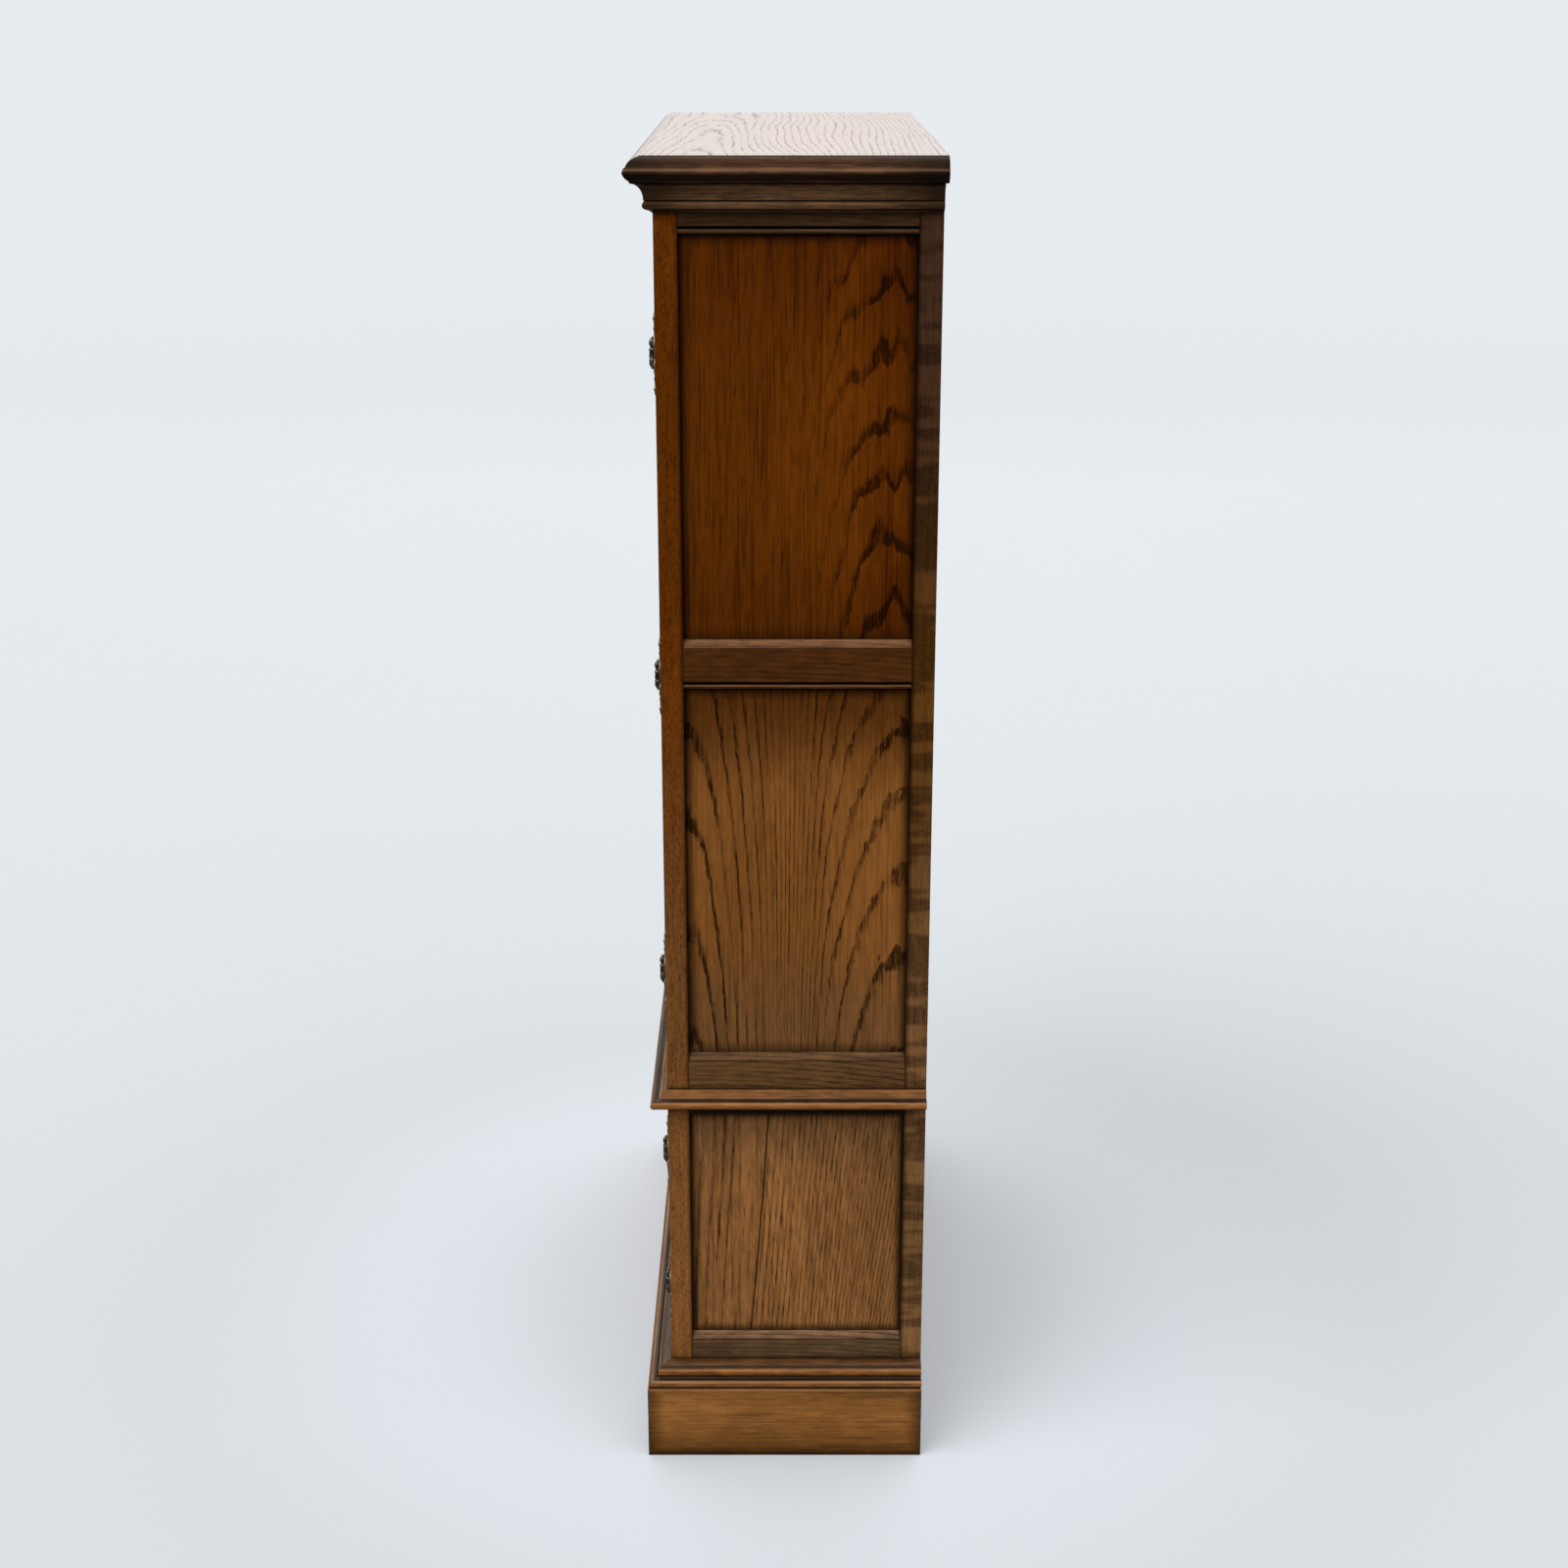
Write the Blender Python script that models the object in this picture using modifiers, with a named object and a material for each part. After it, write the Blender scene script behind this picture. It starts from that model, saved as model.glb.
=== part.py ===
"""A two-stage oak bookcase: leaded glass doors above a waist ledge, a panelled cupboard below it.

Metres, +Z up. The bookcase faces -Y and stands on Z = 0, with the middle of its box at X = 0, Y = 0.
Side +1 is its right-hand side (+X) and side -1 its left-hand side, so most pieces come in pairs.
"""

import math

import bmesh
import bpy
from mathutils import Vector

# Overall size -------------------------------------------------------------------------------
HEIGHT = 1.830
CASE_WIDTH = 0.925  # across the outer faces of the side frames
CASE_FRONT = -0.1645  # plane of the posts and of the closed doors
CASE_BACK = 0.1955
GAP = 0.0003  # left between pieces that touch
CUT_MARGIN = 0.001  # how far a cut runs past what it cuts
SIDE_NAMES = {1: "right", -1: "left"}

# Levels above the floor ---------------------------------------------------------------------
PLINTH_TOP = 0.113
BASE_MOULDING_TOP = 0.141
FLOOR_BOARD_BOTTOM = 0.140
FLOOR_BOARD_TOP = 0.158
WAIST_BOTTOM = 0.547
WAIST_TOP = 0.5704
FRONT_RAIL_BOTTOM = 1.7462
TOP_BOARD_BOTTOM = 1.7975

# Side frames --------------------------------------------------------------------------------
FRAME_THICKNESS = 0.022
POST_WIDTH = 0.036  # of the front post, seen from the front
STILE_WIDTH = 0.030  # of the post and the rear stile, seen from the side
RAIL_SET_BACK = 0.0003  # a rail's face lies this far behind a stile's
TENON = 0.012
PANEL_RECESS = 0.008
PANEL_THICKNESS = 0.008
PANEL_TONGUE = 0.006
BEAD = 0.0035  # radius of the bead along a rail's lower edge
QUIRK = 0.003  # height of the groove above the bead
BEVEL_HEIGHT = 0.0115  # of the slope along a rail's upper edge

# Rails of the side frames: (bottom, top, beaded lower edge, bevelled upper edge)
UPPER_RAILS = {
    "bottom": (WAIST_TOP + GAP, 0.6235, False, True),
    "middle": (1.148, 1.2155, True, True),
    "top": (1.734, TOP_BOARD_BOTTOM - GAP, True, False),
}
LOWER_RAILS = {
    "bottom": (PLINTH_TOP + GAP, 0.183, False, True),
    "top": (0.531, WAIST_BOTTOM - GAP, False, False),
}

# Back, shelves and base ---------------------------------------------------------------------
BACK_PANEL_THICKNESS = 0.006
BACK_PANEL_BOTTOM = 0.120
BACK_PANEL_LAP = 0.0097  # of the back panel on each rear stile
BACK_REBATE_DEPTH = 0.0073
BACK_PANEL_INSET = 0.001  # of the back panel's face from the case's rear plane
SHELF_COUNT = 3
SHELF_THICKNESS = 0.018
SHELF_PLAY = 0.0015
PLINTH_OVERHANG = 0.034
PLINTH_THICKNESS = 0.022
BEARER_WIDTH = 0.045
BEARER_THICKNESS = 0.022

# Doors --------------------------------------------------------------------------------------
DOOR_THICKNESS = 0.020
DOOR_PLAY = 0.0015  # between a door and what is round it
DOOR_STILE = 0.045
MEETING_PLAY = 0.0018  # between the two doors of a pair
DOORS = {
    "upper": {"bottom": 0.5725, "top": 1.7445, "bottom_rail": 0.058, "top_rail": 0.048},
    "lower": {"bottom": 0.160, "top": 0.545, "bottom_rail": 0.058, "top_rail": 0.048},
}
GLASS_THICKNESS = 0.003
GLASS_REBATE_WIDTH = 0.008
GLASS_REBATE_DEPTH = 0.010
LEAD_WIDTH = 0.006
LEAD_THICKNESS = 0.0015
LEAD_COLUMNS = 3
LEAD_ROWS = 7
KNOB_HEIGHTS = {"upper": 1.060, "lower": 0.430}

# Hinges -------------------------------------------------------------------------------------
HINGE_HEIGHTS = {"upper": (0.736, 1.158, 1.583), "lower": (0.2465, 0.459)}
BARREL_RADIUS = 0.0045
BARREL_LENGTH = 0.0124
BARREL_CLEARANCE = 0.0004  # between one barrel and the next
BARREL_SIDES = 12
PIN_RADIUS = 0.0020
PIN_BORE_RADIUS = 0.00225
PIN_PROUD = 0.002
HINGE_STAND_OFF = 0.0004  # between the closed doors' plane and a barrel
LEAF_THICKNESS = 0.002
LEAF_TO_BARREL = 0.0054  # from the axis to a leaf's edge beside the other leaf's barrel

SIDE_FACE = CASE_WIDTH / 2
POST_INNER = SIDE_FACE - POST_WIDTH
PANEL_FRONT = CASE_FRONT + STILE_WIDTH
PANEL_BACK = CASE_BACK - STILE_WIDTH
INNER_FACE = SIDE_FACE - FRAME_THICKNESS
BACK_REBATE_FRONT = CASE_BACK - BACK_REBATE_DEPTH
HINGE_X = POST_INNER - DOOR_PLAY / 2
HINGE_Y = CASE_FRONT - BARREL_RADIUS - HINGE_STAND_OFF

# Finishes: base colour, roughness, metallic
FINISHES = {
    "oak_top": ((0.150, 0.077, 0.042), 0.30, 0.0),
    "oak_moulding": ((0.170, 0.076, 0.028), 0.35, 0.0),
    "oak_frame": ((0.200, 0.085, 0.025), 0.38, 0.0),
    "oak_panel": ((0.200, 0.076, 0.018), 0.36, 0.0),
    "oak_plinth": ((0.270, 0.115, 0.032), 0.38, 0.0),
    "oak_inside": ((0.180, 0.097, 0.045), 0.50, 0.0),
    "back_plywood": ((0.150, 0.085, 0.045), 0.60, 0.0),
    "door_glass": ((0.90, 0.94, 0.93), 0.04, 0.0),
    "lead_came": ((0.12, 0.12, 0.13), 0.50, 0.9),
    "hinge_iron": ((0.060, 0.055, 0.048), 0.42, 0.9),
    "knob_bronze": ((0.090, 0.070, 0.048), 0.38, 0.9),
}

# Turns that lay an outline's own X outwards and its own Y upwards
FACING_FRONT = (math.pi / 2, 0, -math.pi / 2)
FACING_SIDE = {1: (math.pi / 2, 0, 0), -1: (math.pi / 2, 0, math.pi)}


# Scene and materials ------------------------------------------------------------------------
def clear_scene():
    for obj in list(bpy.data.objects):
        bpy.data.objects.remove(obj)


def new_collection(name):
    collection = bpy.data.collections.new(name)
    bpy.context.scene.collection.children.link(collection)
    return collection


def material(finish):
    found = bpy.data.materials.get(finish)
    if found:
        return found
    colour, roughness, metallic = FINISHES[finish]
    made = bpy.data.materials.new(finish)
    made.use_nodes = True
    shader = made.node_tree.nodes["Principled BSDF"]
    shader.inputs["Base Color"].default_value = (*colour, 1.0)
    shader.inputs["Roughness"].default_value = roughness
    shader.inputs["Metallic"].default_value = metallic
    made.diffuse_color = (*colour, 1.0)
    return made


# Modelling helpers --------------------------------------------------------------------------
def as_mesh(name, bm):
    bmesh.ops.recalc_face_normals(bm, faces=bm.faces)
    mesh = bpy.data.meshes.new(name)
    bm.to_mesh(mesh)
    bm.free()
    return mesh


def add(name, data, finish, location=(0, 0, 0), turn=(0, 0, 0), parent=None):
    """An object in the parts' collection, placed in the world and then held by its parent."""
    obj = bpy.data.objects.new(name, data)
    obj.rotation_euler = turn
    obj.location = Vector(location)
    if parent:
        obj.parent = parent
        obj.location -= parent.location
    if not data.materials:
        data.materials.append(material(finish))
    PARTS.objects.link(obj)
    return obj


def box(name, corner, opposite, finish="oak_frame", parent=None):
    """A cuboid between two opposite corners, with its origin at its centre."""
    corner, opposite = Vector(corner), Vector(opposite)
    size = Vector(abs(b - a) for a, b in zip(corner, opposite))
    bm = bmesh.new()
    bmesh.ops.create_cube(bm, size=1.0)
    bmesh.ops.scale(bm, vec=size, verts=bm.verts)
    return add(name, as_mesh(name, bm), finish, (corner + opposite) / 2, parent=parent)


def mesh_of(obj):
    """The shape of a curve or of an object with modifiers, as one welded mesh. The object is removed."""
    graph = bpy.context.evaluated_depsgraph_get()
    mesh = bpy.data.meshes.new_from_object(obj.evaluated_get(graph))
    bpy.data.objects.remove(obj)
    bm = bmesh.new()
    bm.from_mesh(mesh)
    bmesh.ops.remove_doubles(bm, verts=bm.verts, dist=1e-6)
    bmesh.ops.recalc_face_normals(bm, faces=bm.faces)
    bm.to_mesh(mesh)
    bm.free()
    return mesh


def flat_mesh(name, outlines, thickness):
    """Closed outlines in the XY plane, the later ones holes in the first, thickened along Z."""
    curve = bpy.data.curves.new(name, "CURVE")
    curve.dimensions = "2D"
    curve.fill_mode = "BOTH"
    curve.extrude = thickness / 2
    for outline in outlines:
        spline = curve.splines.new("POLY")
        spline.points.add(len(outline) - 1)
        spline.use_cyclic_u = True
        for point, (x, y) in zip(spline.points, outline):
            point.co = (x, y, 0, 1)
    obj = bpy.data.objects.new(name, curve)
    PARTS.objects.link(obj)
    mesh = mesh_of(obj)
    mesh.name = name
    bpy.data.curves.remove(curve)
    return mesh


def arc(centre, radius, start, end, steps):
    """Points along an arc between two angles in degrees. Radius is a number or a pair."""
    across, up = radius if isinstance(radius, tuple) else (radius, radius)
    points = []
    for step in range(steps + 1):
        angle = math.radians(start + (end - start) * step / steps)
        points.append((centre[0] + across * math.cos(angle), centre[1] + up * math.sin(angle)))
    return points


def as_tool(obj):
    """Makes the object a tool of some other piece's Boolean, which is no piece itself."""
    obj.hide_render = True
    obj.display_type = "WIRE"
    for collection in list(obj.users_collection):
        collection.objects.unlink(obj)
    TOOLS.objects.link(obj)
    return obj


def combine(target, tool, operation):
    modifier = target.modifiers.new(f"{operation.lower()}_{tool.name}", "BOOLEAN")
    modifier.operation = operation
    modifier.object = as_tool(tool)


def join(target, *tools):
    for tool in tools:
        combine(target, tool, "UNION")


def cut(target, *tools):
    for tool in tools:
        combine(target, tool, "DIFFERENCE")


def grown(corner, opposite, *margins):
    """The same two corners with the box between them made larger by a margin along each axis."""
    low = Vector(min(pair) for pair in zip(corner, opposite))
    high = Vector(max(pair) for pair in zip(corner, opposite))
    margin = Vector(margins)
    return low - margin, high + margin


# Mouldings ----------------------------------------------------------------------------------
# A moulding's section is a list of (overhang from the case, height).
def top_board_section():
    """Slope, small step and nose, from the board's top down to its underside."""
    slope = [(0.0146, 0), (0.0152, 0.0009), (0.0220, 0.0034), (0.0270, 0.0066), (0.0300, 0.0099)]
    step = [(0.0308, 0.0132), (0.0336, 0.0152)]
    nose = arc((0.0300, 0.0199), (0.0050, 0.0045), 30, -40, 5)
    under = [(0.0308, 0.0270), (0.0269, 0.0310), (0.0258, HEIGHT - TOP_BOARD_BOTTOM)]
    nose = [(out, 0.0398 - depth) for out, depth in nose]
    return [(out, HEIGHT - depth) for out, depth in slope + step + nose + under]


def bed_moulding_section():
    """A cove under the top board, with a bead below it."""
    top = TOP_BOARD_BOTTOM - GAP
    cove = arc((0.0268, 1.7766), (0.0160, top - 1.7766), 90, 180, 7)
    bead = arc((0.0070, 1.7700), 0.0054, 75, -80, 7)
    foot = [(0.0030, 1.7626), (GAP, 1.7602)]
    return [(GAP, top)] + cove + [(0.0108, 1.7752)] + bead + foot


def waist_section():
    """A sunk ogee and a rounded nose, from the ledge's top down to its underside."""
    ogee = [(0.0015, 0.5704), (0.0034, 0.5696), (0.0060, 0.5660), (0.0084, 0.5624), (0.0102, 0.5610)]
    quirk = [(0.0122, 0.5594), (0.0136, 0.5598)]
    nose = arc((0.0176, 0.5535), (0.0055, 0.0065), 110, -75, 9)
    return ogee + quirk + nose + [(0.0170, WAIST_BOTTOM)]


def base_moulding_section():
    """A fillet, an ovolo, and a bead that rests on the plinth's edge."""
    bottom = PLINTH_TOP + GAP
    fillet = [(GAP, BASE_MOULDING_TOP), (0.0030, BASE_MOULDING_TOP), (0.0095, 0.1384), (0.0105, 0.1366)]
    ovolo = arc((0.0115, 0.1262), (0.0078, 0.0092), 75, -35, 6)
    bead = arc((0.0232, 0.1150), (0.0072, 0.0046), 120, 0, 6)
    return fillet + ovolo + [(0.0192, 0.1192)] + bead + [(0.0318, 0.1140), (0.0322, bottom), (GAP, bottom)]


def moulded_board(name, section, back, finish):
    """A board over the whole case, with the section worked along its front edge and both ends."""
    bm = bmesh.new()
    bmesh.ops.create_grid(bm, x_segments=1, y_segments=1, size=1.0)
    edges = [edge for edge in bm.edges if min(vert.co.y for vert in edge.verts) < 0]

    def spread(verts, overhang, height):
        for vert in verts:
            vert.co.x = math.copysign(SIDE_FACE + overhang, vert.co.x)
            vert.co.y = CASE_FRONT - overhang if vert.co.y < 0 else back
            vert.co.z = height - section[0][1]

    spread(bm.verts, *section[0])
    for overhang, height in section[1:]:
        extruded = bmesh.ops.extrude_edge_only(bm, edges=edges)["geom"]
        edges = [item for item in extruded if isinstance(item, bmesh.types.BMEdge)]
        verts = [item for item in extruded if isinstance(item, bmesh.types.BMVert)]
        spread(verts, overhang, height)
    bmesh.ops.contextual_create(bm, geom=verts)
    bmesh.ops.holes_fill(bm, edges=[edge for edge in bm.edges if edge.is_boundary], sides=0)
    return add(name, as_mesh(name, bm), finish, (0, 0, section[0][1]))


def moulding(name, section, length, location, turn, mitres):
    """A length of moulding, mitred at the listed ends of its own Z axis (-1, +1 or both)."""
    mesh = flat_mesh(name, [section], length)
    for vert in mesh.vertices:
        end = 1 if vert.co.z > 0 else -1
        if end in mitres:
            vert.co.z += end * (vert.co.x - GAP)
    return add(name, mesh, "oak_moulding", location, turn)


def mouldings(name, section):
    """The same moulding along the front and both sides."""
    middle = (CASE_FRONT + CASE_BACK) / 2
    depth = CASE_BACK - CASE_FRONT
    moulding(f"{name}_front", section, CASE_WIDTH, (0, CASE_FRONT, 0), FACING_FRONT, (-1, 1))
    for side, word in SIDE_NAMES.items():
        place = (side * SIDE_FACE, middle, 0)
        moulding(f"{name}_{word}", section, depth, place, FACING_SIDE[side], (side,))


# Case ---------------------------------------------------------------------------------------
def rail_section(bottom, top, beaded, bevelled):
    """Section of a side rail, with its face at X = 0 and the inside of the case at -X."""
    inside = RAIL_SET_BACK * 2 - FRAME_THICKNESS
    points = [(inside, top), (inside, bottom)]
    if beaded:
        points += arc((-BEAD, bottom + BEAD), BEAD, -90, 90, 6)
        points += [(-BEAD, bottom + 2 * BEAD + QUIRK), (0, bottom + 2 * BEAD + QUIRK)]
    else:
        points.append((0, bottom))
    if bevelled:
        points += [(0, top - BEVEL_HEIGHT), (RAIL_SET_BACK - PANEL_RECESS, top)]
    else:
        points.append((0, top))
    return points


def panel_corners(side, bottom, top):
    """Opposite corners of a side panel whose sight lines are at bottom and top."""
    face = SIDE_FACE - PANEL_RECESS
    near = (side * face, PANEL_FRONT - PANEL_TONGUE, bottom - PANEL_TONGUE)
    far = (side * (face - PANEL_THICKNESS), PANEL_BACK + PANEL_TONGUE, top + PANEL_TONGUE)
    return near, far


def side_frame(stage, side, rails, panels):
    """Post, rear stile and rails as one glued frame, and the loose panels in its grooves."""
    name = f"side_frame_{stage}_{SIDE_NAMES[side]}"
    bottom = rails["bottom"][0]
    top = rails["top"][1]
    outer = side * SIDE_FACE
    frame = box(name, (outer, CASE_FRONT, bottom), (side * POST_INNER, PANEL_FRONT, top))
    join(frame, box(f"{name}_stile", (outer, PANEL_BACK, bottom), (side * INNER_FACE, CASE_BACK, top)))
    length = PANEL_BACK - PANEL_FRONT + 2 * TENON
    place = (side * (SIDE_FACE - RAIL_SET_BACK), (PANEL_FRONT + PANEL_BACK) / 2, 0)
    for word, rail in rails.items():
        mesh = flat_mesh(f"{name}_{word}_rail", [rail_section(*rail)], length)
        join(frame, add(mesh.name, mesh, "oak_frame", place, FACING_SIDE[side]))
    for word, (below, above) in panels.items():
        near, far = panel_corners(side, rails[below][1], rails[above][0])
        box(f"side_panel_{word}_{SIDE_NAMES[side]}", near, far, "oak_panel")
        cut(frame, box(f"{name}_{word}_groove", *grown(near, far, GAP, GAP, GAP)))
    return frame


def back_panel(pieces):
    """The thin back, with the rebate for it cut in every piece that it crosses."""
    half_width = INNER_FACE + BACK_PANEL_LAP
    back = CASE_BACK - BACK_PANEL_INSET
    low = (-half_width, back - BACK_PANEL_THICKNESS, BACK_PANEL_BOTTOM)
    high = (half_width, back, TOP_BOARD_BOTTOM - GAP)
    box("back_panel", low, high, "back_plywood")
    for piece in pieces:
        rebate_low = (-half_width - GAP, BACK_REBATE_FRONT, BACK_PANEL_BOTTOM - GAP)
        rebate_high = (half_width + GAP, CASE_BACK + CUT_MARGIN, TOP_BOARD_BOTTOM)
        cut(piece, box(f"{piece.name}_back_rebate", rebate_low, rebate_high))


def shelves():
    """Shelves that share the upper case's height evenly."""
    half_width = INNER_FACE - SHELF_PLAY
    bay = (TOP_BOARD_BOTTOM - WAIST_TOP - SHELF_COUNT * SHELF_THICKNESS) / (SHELF_COUNT + 1)
    for number in range(SHELF_COUNT):
        bottom = WAIST_TOP + bay + number * (bay + SHELF_THICKNESS)
        low = (-half_width, PANEL_FRONT + SHELF_PLAY, bottom)
        high = (half_width, BACK_REBATE_FRONT - SHELF_PLAY, bottom + SHELF_THICKNESS)
        box(f"shelf_{number + 1}", low, high, "oak_inside")


def front_rails_and_floor():
    """The rails over and under the doors, and the cupboard's floor behind the lower one."""
    half_width = POST_INNER - GAP
    rail_back = PANEL_FRONT
    levels = {
        "front_rail_top": (FRONT_RAIL_BOTTOM, TOP_BOARD_BOTTOM - GAP),
        "front_rail_bottom": (PLINTH_TOP + GAP, FLOOR_BOARD_TOP),
    }
    for name, (bottom, top) in levels.items():
        box(name, (-half_width, CASE_FRONT, bottom), (half_width, rail_back, top))
    floor_half = INNER_FACE - GAP
    low = (-floor_half, rail_back + GAP, FLOOR_BOARD_BOTTOM)
    box("bottom_board", low, (floor_half, BACK_REBATE_FRONT, FLOOR_BOARD_TOP), "oak_inside")


def plinth():
    """Four plinth boards as one frame, with bearers inside that carry the case."""
    half_width = SIDE_FACE + PLINTH_OVERHANG
    front = CASE_FRONT - PLINTH_OVERHANG
    low = Vector((-half_width, front, 0))
    high = Vector((half_width, CASE_BACK, PLINTH_TOP))
    frame = box("plinth_frame", low, high, "oak_plinth")
    wall = Vector((PLINTH_THICKNESS, PLINTH_THICKNESS, 0))
    bearer = Vector((BEARER_WIDTH, BEARER_WIDTH, 0))
    over = Vector((0, 0, 0.01))
    bearer_bottom = Vector((0, 0, -BEARER_THICKNESS))
    cut(frame, box("plinth_hollow", low + wall - over, high - wall + bearer_bottom))
    cut(frame, box("plinth_top_opening", low + wall + bearer, high - wall - bearer + over))


# Doors --------------------------------------------------------------------------------------
def diamond_panes(width, height):
    """The lead lattice's openings: diamonds, cut off where they reach the border."""
    step_x, step_y = width / LEAD_COLUMNS, height / LEAD_ROWS
    slope = math.hypot(step_x, step_y) / (step_x * step_y)
    shrink = 1 - LEAD_WIDTH * slope
    half_x, half_y = step_x / 2 * shrink, step_y / 2 * shrink
    edge_x, edge_y = width / 2 - LEAD_WIDTH, height / 2 - LEAD_WIDTH
    panes = []
    for column in range(2 * LEAD_COLUMNS + 1):
        for row in range(2 * LEAD_ROWS + 1):
            if (column + row) % 2:
                continue
            x, y = (column - LEAD_COLUMNS) * step_x / 2, (row - LEAD_ROWS) * step_y / 2
            diamond = [(x - half_x, y), (x, y - half_y), (x + half_x, y), (x, y + half_y)]
            for axis, limit in ((0, edge_x), (0, -edge_x), (1, edge_y), (1, -edge_y)):
                diamond = clipped(diamond, axis, limit)
            panes.append(diamond)
    return panes


def clipped(polygon, axis, limit):
    """The part of a convex polygon on the middle's side of a line at a limit along one axis."""
    sign = math.copysign(1, limit)
    kept = []
    for here, after in zip(polygon, polygon[1:] + polygon[:1]):
        depth, depth_after = sign * (limit - here[axis]), sign * (limit - after[axis])
        if depth >= 0:
            kept.append(here)
        if depth * depth_after < 0:
            share = depth / (depth - depth_after)
            kept.append(tuple(a + share * (b - a) for a, b in zip(here, after)))
    return kept


def door(stage, side):
    """A framed door, its glass and lead or its panel, and its knob, all held by its hinge axis."""
    size = DOORS[stage]
    word = SIDE_NAMES[side]
    axis = bpy.data.objects.new(f"{stage}_door_{word}_axis", None)
    axis.location = (side * HINGE_X, HINGE_Y, (size["bottom"] + size["top"]) / 2)
    PARTS.objects.link(axis)

    inner, outer = MEETING_PLAY / 2, POST_INNER - DOOR_PLAY
    back = CASE_FRONT + DOOR_THICKNESS
    name = f"{stage}_door_frame_{word}"
    near, far = (side * inner, CASE_FRONT, size["bottom"]), (side * outer, back, size["top"])
    frame = box(name, near, far, parent=axis)

    left, right = inner + DOOR_STILE, outer - DOOR_STILE
    sill, head = size["bottom"] + size["bottom_rail"], size["top"] - size["top_rail"]
    opening = (side * left, CASE_FRONT, sill), (side * right, back, head)
    cut(frame, box(f"{name}_opening", *grown(*opening, 0, CUT_MARGIN, 0), parent=axis))
    if stage == "upper":
        shoulder = CASE_FRONT + GLASS_REBATE_DEPTH
        rebate = (side * left, shoulder, sill), (side * right, back + CUT_MARGIN, head)
        rebate = grown(*rebate, GLASS_REBATE_WIDTH, 0, GLASS_REBATE_WIDTH)
        cut(frame, box(f"{name}_rebate", *rebate, parent=axis))
        glass = (side * left, shoulder + GAP, sill), (side * right, shoulder + GAP + GLASS_THICKNESS, head)
        lap = GLASS_REBATE_WIDTH - GAP
        box(f"upper_door_glass_{word}", *grown(*glass, lap, 0, lap), "door_glass", parent=axis)
        lead(side, (left, right), (sill, head), shoulder, axis)
    else:
        face = CASE_FRONT + PANEL_RECESS
        panel = (side * left, face, sill), (side * right, face + PANEL_THICKNESS, head)
        panel = grown(*panel, PANEL_TONGUE, 0, PANEL_TONGUE)
        box(f"lower_door_panel_{word}", *panel, "oak_panel", parent=axis)
        cut(frame, box(f"{name}_groove", *grown(*panel, GAP, GAP, GAP), parent=axis))
    knob(stage, side, inner + DOOR_STILE / 2, axis)
    return axis


def lead(side, across, up, glass_front, axis):
    """The lead lattice on the glass, filling the door's opening."""
    width, height = across[1] - across[0] - 2 * GAP, up[1] - up[0] - 2 * GAP
    x, z = width / 2, height / 2
    border = [(-x, -z), (x, -z), (x, z), (-x, z)]
    name = f"upper_door_lead_{SIDE_NAMES[side]}"
    mesh = flat_mesh(name, [border] + diamond_panes(width, height), LEAD_THICKNESS)
    place = (side * sum(across) / 2, glass_front - LEAD_THICKNESS / 2, sum(up) / 2)
    add(name, mesh, "lead_came", place, (math.pi / 2, 0, 0), axis)


def knob(stage, side, from_middle, axis):
    """A turned knob and its rose, with its own Z axis pointing out of the door."""
    crown = [(0.0, 0.0265)] + arc((0, 0.0185), (0.0120, 0.0080), 65, 0, 3)
    neck = [(0.0098, 0.0140), (0.0055, 0.0105), (0.0055, 0.0050)]
    profile = crown + neck + [(0.0135, 0.0024), (0.0140, 0), (0, 0)]
    bm = bmesh.new()
    verts = [bm.verts.new((radius, 0, height)) for radius, height in profile]
    for here, after in zip(verts, verts[1:]):
        bm.edges.new((here, after))
    mesh = bpy.data.meshes.new(f"{stage}_door_knob")
    bm.to_mesh(mesh)
    bm.free()
    place = (side * from_middle, CASE_FRONT - GAP, KNOB_HEIGHTS[stage])
    name = f"{stage}_door_knob_{SIDE_NAMES[side]}"
    turned = add(name, mesh, "knob_bronze", place, (math.pi / 2, 0, 0), axis)
    screw = turned.modifiers.new("turned", "SCREW")
    screw.steps = 16
    screw.render_steps = 16
    screw.use_merge_vertices = True
    screw.merge_threshold = 0.00001
    return turned


# Hinges -------------------------------------------------------------------------------------
def leaf_outline(side, owns_middle_barrel):
    """A leaf's outline seen from the front: x away from the axis to one side, y up from its middle."""
    half_barrel = BARREL_LENGTH / 2
    knuckle = 1.5 * BARREL_LENGTH + BARREL_CLEARANCE
    if owns_middle_barrel:
        edge = [(0, half_barrel), (LEAF_TO_BARREL, half_barrel), (LEAF_TO_BARREL, knuckle + 0.001)]
    else:
        shoulder = half_barrel + BARREL_CLEARANCE
        edge = [(LEAF_TO_BARREL, shoulder), (0, shoulder), (0, knuckle)]
    neck = [(0.0062, 0.0215), (0.0046, 0.0290), (0.0026, 0.0370)]
    head = arc((0.0102, 0.0448), 0.0077, 165, -75, 6)
    throat = [(0.0104, 0.0330), (0.0130, 0.0275)]
    lobe = arc((0.0196, 0.0130), (0.0088, 0.0115), 80, -25, 4)
    upper = edge + neck + head + throat + lobe + [(0.0250, 0.0030)]
    lower = [(x, -y) for x, y in reversed(upper)]
    return [(side * x, y) for x, y in upper + lower]


def barrel(name, height, length, radius, sides):
    """A cylinder on the hinge's axis, centred at a height, in the leaf's own frame."""
    bm = bmesh.new()
    bmesh.ops.create_cone(bm, cap_ends=True, segments=sides, radius1=radius, radius2=radius, depth=length)
    bmesh.ops.translate(bm, vec=(0, 0, height), verts=bm.verts)
    return add(name, as_mesh(name, bm), "hinge_iron")


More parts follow.
